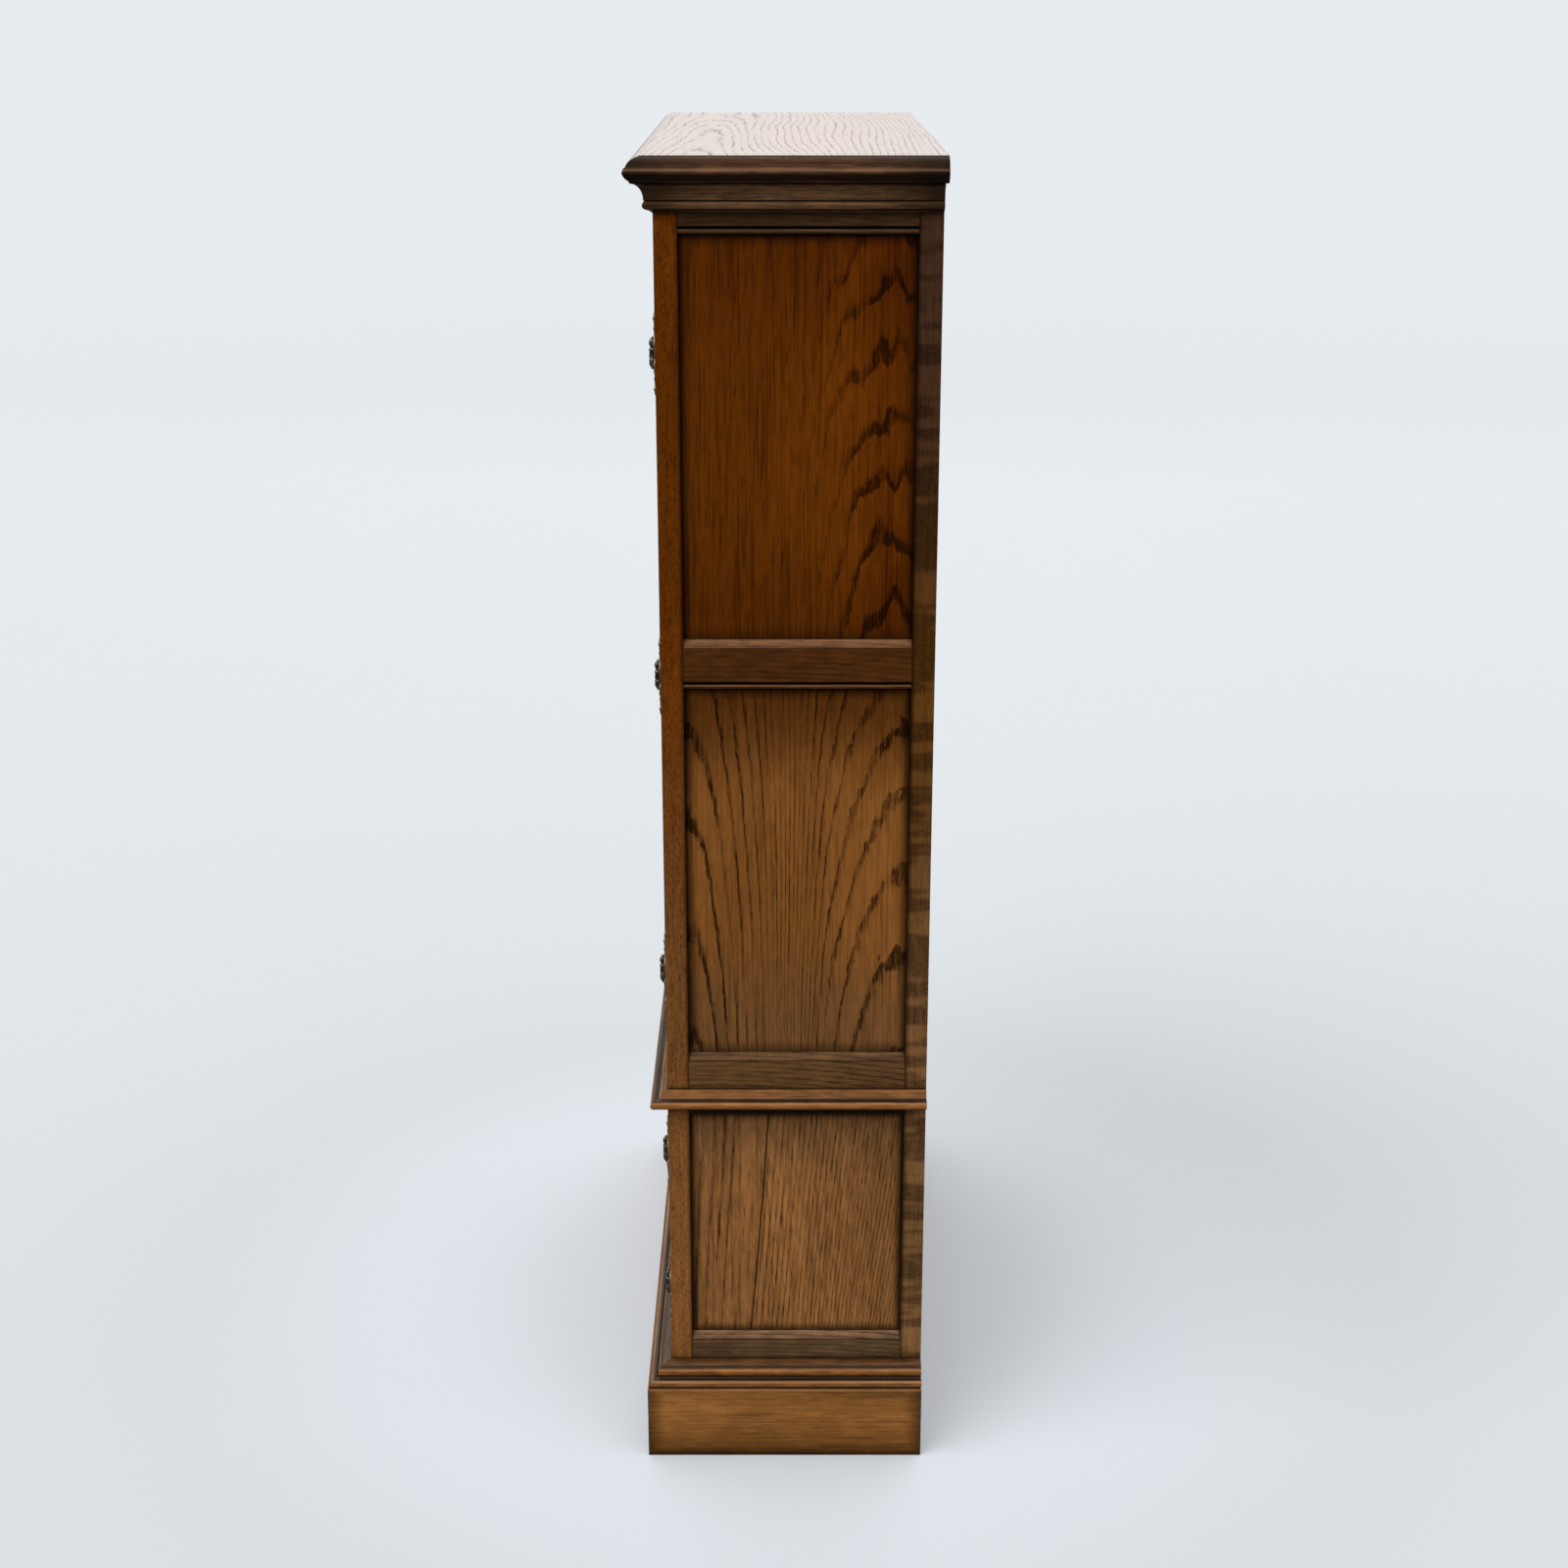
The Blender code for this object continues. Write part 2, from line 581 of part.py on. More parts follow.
def leaf_mesh(side, owns_middle_barrel):
    """A leaf with its barrels, in a frame whose origin is on the pin's axis at half height."""
    name = f"hinge_{'door' if owns_middle_barrel else 'post'}_leaf_{SIDE_NAMES[side]}"
    out = -side if owns_middle_barrel else side
    plate = flat_mesh(name, [leaf_outline(out, owns_middle_barrel)], LEAF_THICKNESS)
    plate_y = CASE_FRONT - GAP - LEAF_THICKNESS / 2 - HINGE_Y
    leaf = add(name, plate, "hinge_iron", (0, plate_y, 0), (math.pi / 2, 0, 0))
    pitch = BARREL_LENGTH + BARREL_CLEARANCE
    if owns_middle_barrel:
        join(leaf, barrel(f"{name}_middle", 0, BARREL_LENGTH, BARREL_RADIUS, BARREL_SIDES))
        cut(leaf, barrel(f"{name}_bore", 0, 2 * BARREL_LENGTH, PIN_BORE_RADIUS, BARREL_SIDES))
    else:
        for end in (-1, 1):
            ring = barrel(f"{name}_end_{end}", end * pitch, BARREL_LENGTH, BARREL_RADIUS, BARREL_SIDES)
            join(leaf, ring)
        pin_length = 2 * pitch + BARREL_LENGTH + 2 * PIN_PROUD
        join(leaf, barrel(f"{name}_pin", 0, pin_length, PIN_RADIUS, BARREL_SIDES))
    bpy.context.view_layer.update()
    to_axis = leaf.matrix_world.copy()
    tools = [modifier.object for modifier in leaf.modifiers]
    mesh = mesh_of(leaf)
    mesh.transform(to_axis)
    mesh.name = name
    for tool in tools:
        bpy.data.objects.remove(tool)
    mesh.shade_smooth()
    mesh.set_sharp_from_angle(angle=math.radians(35))
    return mesh


def hinges(side, axes):
    """All the hinges of one side: every leaf of a kind is a copy of one mesh."""
    meshes = {"post": leaf_mesh(side, False), "door": leaf_mesh(side, True)}
    for stage, heights in HINGE_HEIGHTS.items():
        for number, height in enumerate(heights, 1):
            for kind, mesh in meshes.items():
                name = f"{stage}_hinge_{SIDE_NAMES[side]}_{number}_{kind}_leaf"
                parent = axes[stage] if kind == "door" else None
                add(name, mesh, "hinge_iron", (side * HINGE_X, HINGE_Y, height), parent=parent)


def bookcase():
    moulded_board("top_board", top_board_section(), CASE_BACK + 0.004, "oak_top")
    mouldings("cornice", bed_moulding_section())
    waist = moulded_board("waist_board", waist_section(), CASE_BACK, "oak_moulding")
    mouldings("base_moulding", base_moulding_section())
    rebated = [waist]
    for side in SIDE_NAMES:
        upper_panels = {"middle": ("bottom", "middle"), "top": ("middle", "top")}
        rebated.append(side_frame("upper", side, UPPER_RAILS, upper_panels))
        rebated.append(side_frame("lower", side, LOWER_RAILS, {"lower": ("bottom", "top")}))
    back_panel(rebated)
    shelves()
    front_rails_and_floor()
    plinth()
    for side in SIDE_NAMES:
        hinges(side, {stage: door(stage, side) for stage in DOORS})


clear_scene()
PARTS = new_collection("oak_bookcase")
TOOLS = new_collection("cutters")
bookcase()
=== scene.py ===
"""The looks of a two-stage oak bookcase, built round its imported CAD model.

Metres, +Z up, doors towards -Y. Meshes are made in the row frame with their object at the origin,
so that Object coordinates are places on the bookcase. Side +1 is its right-hand side (+X).
"""

import math

import bmesh
import bpy
from mathutils import Matrix, Vector


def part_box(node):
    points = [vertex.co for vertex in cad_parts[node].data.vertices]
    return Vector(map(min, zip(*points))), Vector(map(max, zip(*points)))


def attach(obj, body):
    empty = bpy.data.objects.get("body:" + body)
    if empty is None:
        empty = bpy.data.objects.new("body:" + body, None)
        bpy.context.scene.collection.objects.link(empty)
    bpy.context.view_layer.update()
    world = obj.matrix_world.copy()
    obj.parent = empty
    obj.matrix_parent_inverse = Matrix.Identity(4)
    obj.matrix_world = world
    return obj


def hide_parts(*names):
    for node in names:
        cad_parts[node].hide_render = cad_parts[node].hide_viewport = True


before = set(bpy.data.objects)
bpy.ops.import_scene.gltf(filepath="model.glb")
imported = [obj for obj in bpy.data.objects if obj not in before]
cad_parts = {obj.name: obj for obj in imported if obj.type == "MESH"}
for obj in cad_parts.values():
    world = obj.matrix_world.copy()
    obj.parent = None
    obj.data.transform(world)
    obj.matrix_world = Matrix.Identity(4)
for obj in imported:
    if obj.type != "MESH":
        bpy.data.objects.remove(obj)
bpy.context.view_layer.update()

SIDES = {1: "right", -1: "left"}
AXES = "xyz"

# Places that follow from the CAD nodes ----
POST_LOW, POST_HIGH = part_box("side_frame_upper_right")
LOWER_LOW, LOWER_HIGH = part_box("side_frame_lower_right")
SIDE_FACE = POST_HIGH.x
POST_INNER = POST_LOW.x
CASE_FRONT, CASE_BACK = POST_LOW.y, POST_HIGH.y
TOP_LOW, TOP_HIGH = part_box("top_board")
WAIST_LOW, WAIST_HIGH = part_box("waist_board")
CORNICE_LOW, CORNICE_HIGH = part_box("cornice_right")
BASE_LOW, BASE_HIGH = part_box("base_moulding_right")
PLINTH_LOW, PLINTH_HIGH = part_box("plinth_frame")
STILE = 0.030
FRAME_THICKNESS = 0.022
INNER_FACE = SIDE_FACE - FRAME_THICKNESS
PANEL_FRONT = CASE_FRONT + STILE
PANEL_BACK = CASE_BACK - STILE
PANEL_RECESS = 0.008
PANEL_TONGUE = 0.006
JOINT_LINE = 0.00012
GAP = 0.0003
HAIR = 0.00002  # keeps eased edges inside the CAD's box
PEG_INSET = 0.035
PLINTH_THICKNESS = 0.022
PLINTH_ARRIS = 0.1087  # above it the plinth's faces step in, under the moulding
PLINTH_STEP = 0.0024
BEARER_WIDTH, BEARER_HEIGHT = 0.045, 0.022
WAIST_NOTCH = ((-0.4505, 0.1882, 0.5), (0.4505, 0.25, 0.6))  # room for the back panel

# Camera and light ----
CAMERA_PLACE = (3.498, -0.0023, 2.040)
CAMERA_PITCH = 18.62
CAMERA_LENS = 55.24
SKY = (0.787, 0.826, 0.858)
FLOOR_NEAR = (0.570, 0.625, 0.694)
FLOOR_MIDDLE = (0.476, 0.519, 0.560)
FLOOR_FAR = (0.508, 0.549, 0.594)
SKY_LOW = (0.035, 0.033, 0.030)  # the studio's light at the horizon
SKY_HIGH = (1.68, 1.64, 1.58)  # and overhead
BACKDROP = (0.83, 0.78, 0.76)  # a pale wall on the bookcase's left
BELOW_FAR = (0.02, 0.017, 0.014)
BELOW_NEAR = (0.34, 0.32, 0.29)
FLOOR_RADIUS = 300.0
SUN_DIRECTION = (0.45, -0.62, 0.64)  # from the bookcase towards the light
SUN_STRENGTH = 1.15
SUN_ANGLE = 55
SOFTBOX_PLACE = (-7.0, 0.3, 4.6)
SOFTBOX_SIZE = (9.0, 4.2)
SOFTBOX_POWER = 60.0


# Shader graphs ----
def math_method(operation, swapped=False):
    """A Num method for a Math node with two values, the Num second where they are swapped."""

    def method(self, other):
        values = (other, self) if swapped else (self, other)
        return self.graph.math(operation, *values)

    return method


class Num:
    """A number in a shader. Arithmetic on it adds Math nodes."""

    def __init__(self, graph, socket):
        self.graph = graph
        self.socket = socket

    __add__ = math_method("ADD")
    __radd__ = math_method("ADD", swapped=True)
    __sub__ = math_method("SUBTRACT")
    __rsub__ = math_method("SUBTRACT", swapped=True)
    __mul__ = math_method("MULTIPLY")
    __rmul__ = math_method("MULTIPLY", swapped=True)
    __rtruediv__ = math_method("DIVIDE", swapped=True)
    power = math_method("POWER")
    least = math_method("MINIMUM")
    most = math_method("MAXIMUM")

    def __abs__(self):
        return self.graph.math("ABSOLUTE", self)

    def fraction(self):
        return self.graph.math("FRACT", self)

    def ramp(self, start, end, low=0.0, high=1.0):
        """Smoothly from low at start to high at end."""
        settings = {"interpolation_type": "SMOOTHSTEP"}
        ends = {"Value": self, "From Min": start, "From Max": end, "To Min": low, "To Max": high}
        return Num(self.graph, self.graph.node("MapRange", ends, **settings).outputs[0])


class Graph:
    """A node tree that is easy to add to."""

    def __init__(self, tree):
        self.tree = tree

    def node(self, kind, inputs=None, **settings):
        made = self.tree.nodes.new(f"ShaderNode{kind}")
        for key, value in settings.items():
            setattr(made, key, value)
        for key, value in (inputs or {}).items():
            self.feed(made.inputs[key], value)
        return made

    def feed(self, socket, value):
        if isinstance(value, Num):
            self.tree.links.new(value.socket, socket)
        elif isinstance(value, bpy.types.NodeSocket):
            self.tree.links.new(value, socket)
        elif socket.type == "RGBA":
            socket.default_value = (*value, 1.0)
        else:
            socket.default_value = value

    def math(self, operation, *values):
        made = self.node("Math", dict(enumerate(values)), operation=operation)
        return Num(self, made.outputs[0])

    def vector(self, x, y, z):
        return self.node("CombineXYZ", {0: x, 1: y, 2: z}).outputs[0]

    def noise(self, vector, detail=2.0, roughness=0.5, scale=1.0):
        """Noise about 0, and its colour's first two channels, also about 0."""
        inputs = {"Vector": vector, "Scale": scale, "Detail": detail, "Roughness": roughness}
        made = self.node("TexNoise", inputs)
        channels = self.node("SeparateColor", {0: made.outputs["Color"]})
        return [Num(self, made.outputs[0]) - 0.5] + [
            Num(self, channels.outputs[index]) - 0.5 for index in (0, 1)
        ]

    def mix(self, low, high, share, blend="MIX"):
        made = self.node("Mix", data_type="RGBA", blend_type=blend, clamp_factor=True)
        sockets = [s for s in made.inputs if s.type == "RGBA"]
        self.feed(made.inputs[0], share)
        self.feed(sockets[0], low)
        self.feed(sockets[1], high)
        return [s for s in made.outputs if s.type == "RGBA"][0]

    def scaled(self, colour, amount):
        """A colour multiplied by a number."""
        return self.node("VectorMath", {0: colour, "Scale": amount}, operation="SCALE").outputs[0]


class Surface(Graph):
    """A new material's nodes. Its place is the point's place on the bookcase, in metres."""

    def __init__(self, name):
        self.material = bpy.data.materials.new(name)
        self.material.use_nodes = True
        super().__init__(self.material.node_tree)
        self.shader = self.tree.nodes["Principled BSDF"]
        self.place = self.node("TexCoord").outputs["Object"]
        parts = self.node("SeparateXYZ", {0: self.place})
        self.x, self.y, self.z = (Num(self, socket) for socket in parts.outputs)

    def bump(self, height, distance, strength=1.0):
        made = self.node("Bump", {"Height": height, "Distance": distance, "Strength": strength})
        self.tree.links.new(made.outputs[0], self.shader.inputs["Normal"])

    def finish(self, **values):
        for key, value in values.items():
            self.feed(self.shader.inputs[key.replace("_", " ")], value)
        return self.material


# Oak ----
OAK = {
    "across": "y",
    "along": "z",
    "pale": (0.17, 0.075, 0.024),
    "dark": (0.05, 0.019, 0.006),
    # Each pith: its place across, where it starts along, its depth there, its slope, its plain core
    "cones": [(0.9, 0.0, 0.25, 0.02, 0.0)],
    "spacing": 0.0032,
    "fan": None,  # lines that part upwards: the upright one's place, how far below they meet, their start
    "tips": None,  # how far from a pith the arches' dark tips reach, and the shade beyond
    "crowd": 1.0,  # above 1 the rings lie closer the further they are from the pith
    "meet": None,  # of two piths: where the arches meet, half the width of the change, offset in rings
    "stretch": None,  # low, width, power: rings spread towards the low edge
    "wander": 0.004,
    "jag": 0.0008,
    "flame": 0.010,  # how far fine noise pushes the lines along the grain
    "teeth": 0.0,  # and how far coarse noise does
    "rings": 0.55,  # how far the ring lines darken
    "line": 0.34,  # of a ring's width, taken by its dark line
    "plain": None,  # a plain stripe's two edges; a strong line ends it
    "pores": 0.5,
    "streaks": 0.2,
    "flecks": 0.0,
    "bands": 0.0,
    "focus": None,
    # a board's limits, low and high across and along, where painted shade and stain darken its edges
    "edges": None,
    "edge_width": 0.011,
    "edge_shade": 0.6,
    "tints": (),  # each: height where it starts, height where it is full, colour to multiply by
    "aside": (),  # the same across the board
    "stains": (),  # dark lines along a moulding's quirks, joints and undersides, partly stain and partly painted shade: height, half the width, strength
    "rubs": (),  # painted highlights, pale lines along a moulding's raised edges: height, half the width, strength
    "cloud": 0.16,  # how much the tone drifts along the board
    "mottle": 0.0,  # and how much it varies within a few centimetres
    "painted_crevice_shade": 1.0,
    "rough": 0.32,
    "gloss": 0.08,
    "glint": (1.0, 0.84, 0.64),  # waxed and stained wood reflects warmly
    "coat": 0.0,
    "seed": 0.0,
}
PAINTED_SHADE_COLOUR = (0.045, 0.035, 0.03)  # painted shade: what the ambient occlusion in a recess multiplies the oak's colour by
# Painted shade in recesses and along joints, and stain: the colour that a board's edges darken towards.
EDGE_SHADE_AND_STAIN = (0.010, 0.005, 0.002)
# Stain, and painted shade under overhangs and in joints: the colour that dark lines darken towards.
QUIRK_STAIN_AND_SHADE = (0.010, 0.006, 0.004)
# Painted highlight: the colour that raised edges are lightened towards.
PAINTED_HIGHLIGHT = (0.50, 0.27, 0.14)


def ring_count(look, u, v, wander, jag):
    """Growth rings between the pith and each point: level lines are a plain-sawn board's arches.

    The first result is the place across, bent the way the lines are.
    """
    u = u + wander[1] * look["wander"] + jag[1] * look["jag"]
    if look["fan"]:
        upright, reach, start = look["fan"]
        u = (u - upright) * (reach / (v - start + reach)) + upright
    bent = u
    if look["stretch"]:
        low, width, power = look["stretch"]
        u = ((u - low) * (1 / width)).most(0.0).power(power) * width + low
    v = v + jag[2] * look["flame"]
    counts = []
    for centre, start, depth, slope, core in look["cones"]:
        aside = u - centre
        below = (v - start) * slope + wander[2] * look["wander"] + depth
        radius = (aside * aside + below * below).power(0.5) - core
        counts.append((radius * (1 / look["spacing"])).most(0.0).power(look["crowd"]))
    if look["meet"]:
        where, half_width, offset = look["meet"]
        share = u.ramp(where - half_width, where + half_width)
        return bent, counts[0] + share * (offset - counts[1] - counts[0])
    return bent, counts[0]


def tip_shade(look, u):
    """1 over each pith, falling to the shade that the rest of the arches keep."""
    reach, beyond = look["tips"]
    nearest = None
    for centre, *_ in look["cones"]:
        aside = abs(u - centre)
        nearest = aside if nearest is None else nearest.least(aside)
    return nearest.ramp(0.0, reach, 1.0, beyond)


def grain_shade(graph, look, u, v, noise):
    """How far rings, pores, streaks, flecks and bands darken each point, and noise in small patches."""
    wander = noise(5.0, 1.3, 1.0)
    jag = noise(110.0, 60.0, 3.0)
    teeth = noise(34.0, 7.0, 2.0)[1]
    bent, count = ring_count(look, u, v + teeth * look["teeth"], wander, jag)
    phase = count.fraction()
    width = look["line"]
    line = phase.ramp(0.0, width * 0.22) * phase.ramp(width * 0.45, width, 1.0, 0.0)
    glow = phase.ramp(width * 0.5, 1.0, 0.22, 0.0)
    patches = noise(60.0, 5.0, 2.0)[0]
    pores = noise(1000.0, 42.0, 2.0, 0.6)[0].ramp(-0.01, 0.16)
    dashes = noise(420.0, 60.0, 2.0, 0.6)[0].ramp(-0.12, 0.12)
    streaks = noise(300.0, 5.0, 2.0, 0.6)[0].ramp(-0.04, 0.20)
    strength = patches.ramp(-0.20, 0.12, 0.35, 1.0) * look["rings"]
    if look["focus"]:
        strength = strength * u.ramp(*look["focus"])
    if look["tips"]:
        strength = strength * tip_shade(look, u)
    ending = 0.0
    if look["plain"]:
        start, end = look["plain"]
        inside = bent.ramp(start, start + 0.006) * bent.ramp(end - 0.001, end, 1.0, 0.0)
        strength = strength * (1.0 - inside * 0.8)
        ending = bent.ramp(end - 0.001, end) * bent.ramp(end + 0.001, end + 0.004, 1.0, 0.0) * 0.9
    shade = line * strength * (0.45 + 0.55 * dashes) + glow * strength * (0.3 + 0.7 * pores) + ending
    shade = shade + pores * (0.3 + 0.7 * line) * look["pores"] * 0.6 + streaks * look["streaks"]
    if look["flecks"]:
        fleck = noise(420.0, 150.0, 2.0)[0].ramp(-0.02, 0.16)
        shade = shade + fleck * look["flecks"]
    if look["bands"]:
        place = graph.vector(u * 6.0, v * 26.0, look["seed"])
        block = graph.noise(place, 2.0, 0.7)[0].ramp(-0.07, 0.05)
        hatch = noise(90.0, 520.0, 1.0)[0].ramp(-0.2, 0.2, 0.65, 1.0)
        shade = shade + block * hatch * look["bands"]
    return shade.least(1.0), patches


def aged(graph, look, colour, u, v, patches):
    """The colour with edges darkened by painted shade and stain, stain and painted shade along the quirks,
    and painted highlights on the arrises.
    """
    # Painted shade in the recess along the edges, and stain there.
    if look["edges"]:
        u_low, u_high, v_low, v_high = look["edges"]
        inset = (u - u_low).least(u_high - u).least(v - v_low).least(v_high - v)
        inset = inset + patches * look["edge_width"] * 0.5
        darkening = inset.ramp(0.0, look["edge_width"], look["edge_shade"], 0.0)
        darkening = darkening.most(inset.ramp(0.0, 0.006, look["edge_shade"] * 1.15, 0.0))
        colour = graph.mix(colour, EDGE_SHADE_AND_STAIN, darkening)
    # Stain and painted shade along the quirks, joints and undersides.
    for height, half_width, strength in look["stains"]:
        off = abs(graph.z - height) + patches * half_width * 0.8
        stain = off.ramp(half_width * 0.35, half_width, strength, 0.0)
        colour = graph.mix(colour, QUIRK_STAIN_AND_SHADE, stain)
    # Painted highlights along the raised edges.
    for height, half_width, strength in look["rubs"]:
        off = abs(graph.z - height)
        highlight_strength = patches.ramp(-0.22, 0.18, strength * 0.35, strength)
        colour = graph.mix(colour, PAINTED_HIGHLIGHT, off.ramp(half_width * 0.3, half_width, 1.0, 0.0) * highlight_strength)
    return colour


def oak(name, **changes):
    """Stained, waxed oak. Across and along name the axes across and along the board's grain."""
    look = {**OAK, **changes}
    graph = Surface(name)
    axes = {"x": graph.x, "y": graph.y, "z": graph.z}
    u, v = axes.pop(look["across"]), axes.pop(look["along"])
    (depth,) = axes.values()

    def noise(across, along, detail=2.0, roughness=0.5):
        """Noise with so many cells to a metre across and along the grain."""
        place = graph.vector(u * across, v * along, depth * across + look["seed"])
        return graph.noise(place, detail, roughness)

    shade, patches = grain_shade(graph, look, u, v, noise)
    colour = graph.mix(look["pale"], look["dark"], shade)
    cloud, mottle = look["cloud"], look["mottle"]
    tone = noise(9.0, 2.0, 2.0)[0].ramp(-0.22, 0.22, 1.0 - cloud, 1.0 + cloud)
    if mottle:
        tone = tone * noise(170.0, 30.0, 3.0, 0.6)[0].ramp(-0.2, 0.2, 1.0 - mottle, 1.0 + mottle)
    colour = graph.scaled(colour, tone)
    for place, tints in ((graph.z, look["tints"]), (u, look["aside"])):
        for start, end, tint in tints:
            colour = graph.mix(colour, tint, place.ramp(start, end), "MULTIPLY")
    colour = aged(graph, look, colour, u, v, patches)
    # Painted shade: where the ambient occlusion finds a recess or corner, the colour is darkened.
    open_sky = Num(graph, graph.node("AmbientOcclusion", {"Distance": 0.012}, samples=8).outputs["AO"])
    painted_crevice_shade = open_sky.ramp(0.42, 0.72, look["painted_crevice_shade"], 0.0).most(open_sky.ramp(0.60, 0.97, 0.55, 0.0))
    colour = graph.mix(colour, PAINTED_SHADE_COLOUR, painted_crevice_shade, "MULTIPLY")
    graph.bump(shade * -1.0, 0.00022, 0.8)
    rough = shade * 0.2 + painted_crevice_shade * 0.3 + look["rough"]
    coat = look["coat"]
    if coat:
        coat = shade.ramp(0.1, 0.9, coat, coat * 0.25)
    return graph.finish(
        Base_Color=colour,
        Roughness=rough,
        Specular_IOR_Level=look["gloss"],
        Specular_Tint=look["glint"],
        Coat_Weight=coat,
        Coat_Roughness=0.14,
    )


# Other materials ----
def cast_metal(name, base, rubbed, darkening, roughness=0.42):
    """Cast metal with a fine grain, grime in patches and rubbed high places."""
    graph = Surface(name)
    grain = graph.noise(graph.place, 3.0, 0.6, 900.0)[0]
    cloud = graph.noise(graph.place, 2.0, 0.5, 120.0)[0]
    pointed = Num(graph, graph.node("NewGeometry").outputs["Pointiness"])
    wear = (pointed + cloud * 0.05).ramp(0.50, 0.58)
    colour = graph.mix(darkening, base, cloud.ramp(-0.15, 0.05))
    colour = graph.mix(colour, rubbed, wear * 0.8)
    graph.bump(grain + cloud, 0.0002, 0.5)
    return graph.finish(
        Base_Color=colour,
        Metallic=0.85,
        Roughness=cloud * 0.3 + grain * 0.2 + roughness,
        Specular_IOR_Level=0.4,
    )


def glass(name):
    """Clear old glass, a little uneven."""
    graph = Surface(name)
    ripple = graph.noise(graph.vector(graph.x * 14.0, graph.y, graph.z * 5.0), 1.0)[0]
    dust = graph.noise(graph.place, 3.0, 0.6, 60.0)[0]
    graph.bump(ripple, 0.0006, 0.5)
    return graph.finish(
        Base_Color=graph.mix((0.93, 0.97, 0.95), (0.88, 0.92, 0.90), dust + 0.5),
        Roughness=dust.ramp(0.0, 0.4, 0.02, 0.08),
        Transmission_Weight=1.0,
        IOR=1.45,
    )


def plywood(name):
    """Brown stained plywood, dry and dull, with a rotary-cut veneer's wide figure."""
    grain = dict(cones=[(0.08, 0.1, 0.03, 0.05, 0.0)], spacing=0.016, wander=0.05, jag=0.003, rings=0.5)
    stain = dict(pale=(0.20, 0.115, 0.06), dark=(0.11, 0.058, 0.028), rough=0.62, gloss=0.10, pores=0.3)
    return oak(name, across="x", along="z", seed=3.7, **grain, **stain)


def pale_floor(name):
    """Plain and pale, a little lighter near the bookcase, which takes some of its light."""
    graph = Surface(name)
    mottle = graph.noise(graph.place, 3.0, 0.6, 0.7)[0]
    away = (graph.x * graph.x + graph.y * graph.y).power(0.5)
    colour = graph.mix(FLOOR_NEAR, FLOOR_MIDDLE, away.ramp(0.45, 1.05))
    colour = graph.mix(colour, FLOOR_FAR, away.ramp(5.0, 14.0))
    colour = graph.scaled(colour, mottle.ramp(-0.3, 0.3, 0.997, 1.003))
    return graph.finish(Base_Color=colour, Roughness=0.9, Specular_IOR_Level=0.0)


# Mesh helpers ----
def linked(name, data):
    obj = bpy.data.objects.new(name, data)
    bpy.context.scene.collection.objects.link(obj)
    return obj


def closed_mesh(name, bm):
    bmesh.ops.remove_doubles(bm, verts=bm.verts, dist=1e-7)
    bmesh.ops.recalc_face_normals(bm, faces=bm.faces)
    mesh = bpy.data.meshes.new(name)
    bm.to_mesh(mesh)
    bm.free()
    return mesh


def loft(stations):
    """A closed bmesh through rings of equally many points, with a flat face at each end."""
    bm = bmesh.new()
    rings = [[bm.verts.new(point) for point in station] for station in stations]
    for before, after in zip(rings, rings[1:]):
        for index in range(len(before)):
            near = index - 1
            bm.faces.new((before[near], before[index], after[index], after[near]))
    bm.faces.new(rings[0])
    bm.faces.new(reversed(rings[-1]))
    return bm


def extruded(section, axis, start, end):
    """A section in the other two axes' plane, in alphabetical order, carried along an axis."""

    def at(place, pair):
        point = list(pair)
        point.insert(AXES.index(axis), place)
        return Vector(point)

    return loft([[at(place, pair) for pair in section] for place in (start, end)])


def cuboid(corner, opposite):
    """A box between two opposite corners."""
    low, high = zip(*(sorted(pair) for pair in zip(corner, opposite)))
    section = [(low[1], low[2]), (high[1], low[2]), (high[1], high[2]), (low[1], high[2])]
    return extruded(section, "x", low[0], high[0])


def mm(*pairs, base=0.0, sign=1):
    """Pairs in millimetres as metres, the second numbers counted up, or down, from a base."""
    return [(first / 1000, base + sign * second / 1000) for first, second in pairs]


def arc(centre, radius, start, end, steps):
    """Points along an arc between two angles in degrees. Radius is a number or a pair."""
    across, up = radius if isinstance(radius, tuple) else (radius, radius)
    angles = [math.radians(start + (end - start) * step / steps) for step in range(steps + 1)]
    return [(centre[0] + across * math.cos(a), centre[1] + up * math.sin(a)) for a in angles]


def turned(profile, steps=40):
    """A bmesh turned about Z from a list of (radius, height), closed at both ends on the axis."""
    bm = bmesh.new()
    rings = []
    for radius, height in profile:
        if radius < 1e-6:
            rings.append([bm.verts.new((0, 0, height))])
            continue
        angles = [math.tau * step / steps for step in range(steps)]
        rings.append([bm.verts.new((radius * math.cos(a), radius * math.sin(a), height)) for a in angles])
    for lower, upper in zip(rings, rings[1:]):
        for step in range(steps):
            after = (step + 1) % steps
            corners = [lower[step % len(lower)], lower[after % len(lower)]]
            corners += [upper[after % len(upper)], upper[step % len(upper)]]
            bm.faces.new(list(dict.fromkeys(corners)))
    return bm


def turned_on_wall(profile, steps, place, way=-1):
    """The same with its axis along Y instead, out from a place towards -Y, or +Y where way is 1."""
    bm = turned(profile, steps)
    bm.transform(Matrix.Translation(place) @ Matrix.Rotation(-way * math.pi / 2, 4, "X"))
    return bm


def merged(parts):
    """Several bmeshes as one."""
    whole = bmesh.new()
    for part in parts:
        mesh = bpy.data.meshes.new("part")
        part.to_mesh(mesh)
        part.free()
        whole.from_mesh(mesh)
        bpy.data.meshes.remove(mesh)
    return whole


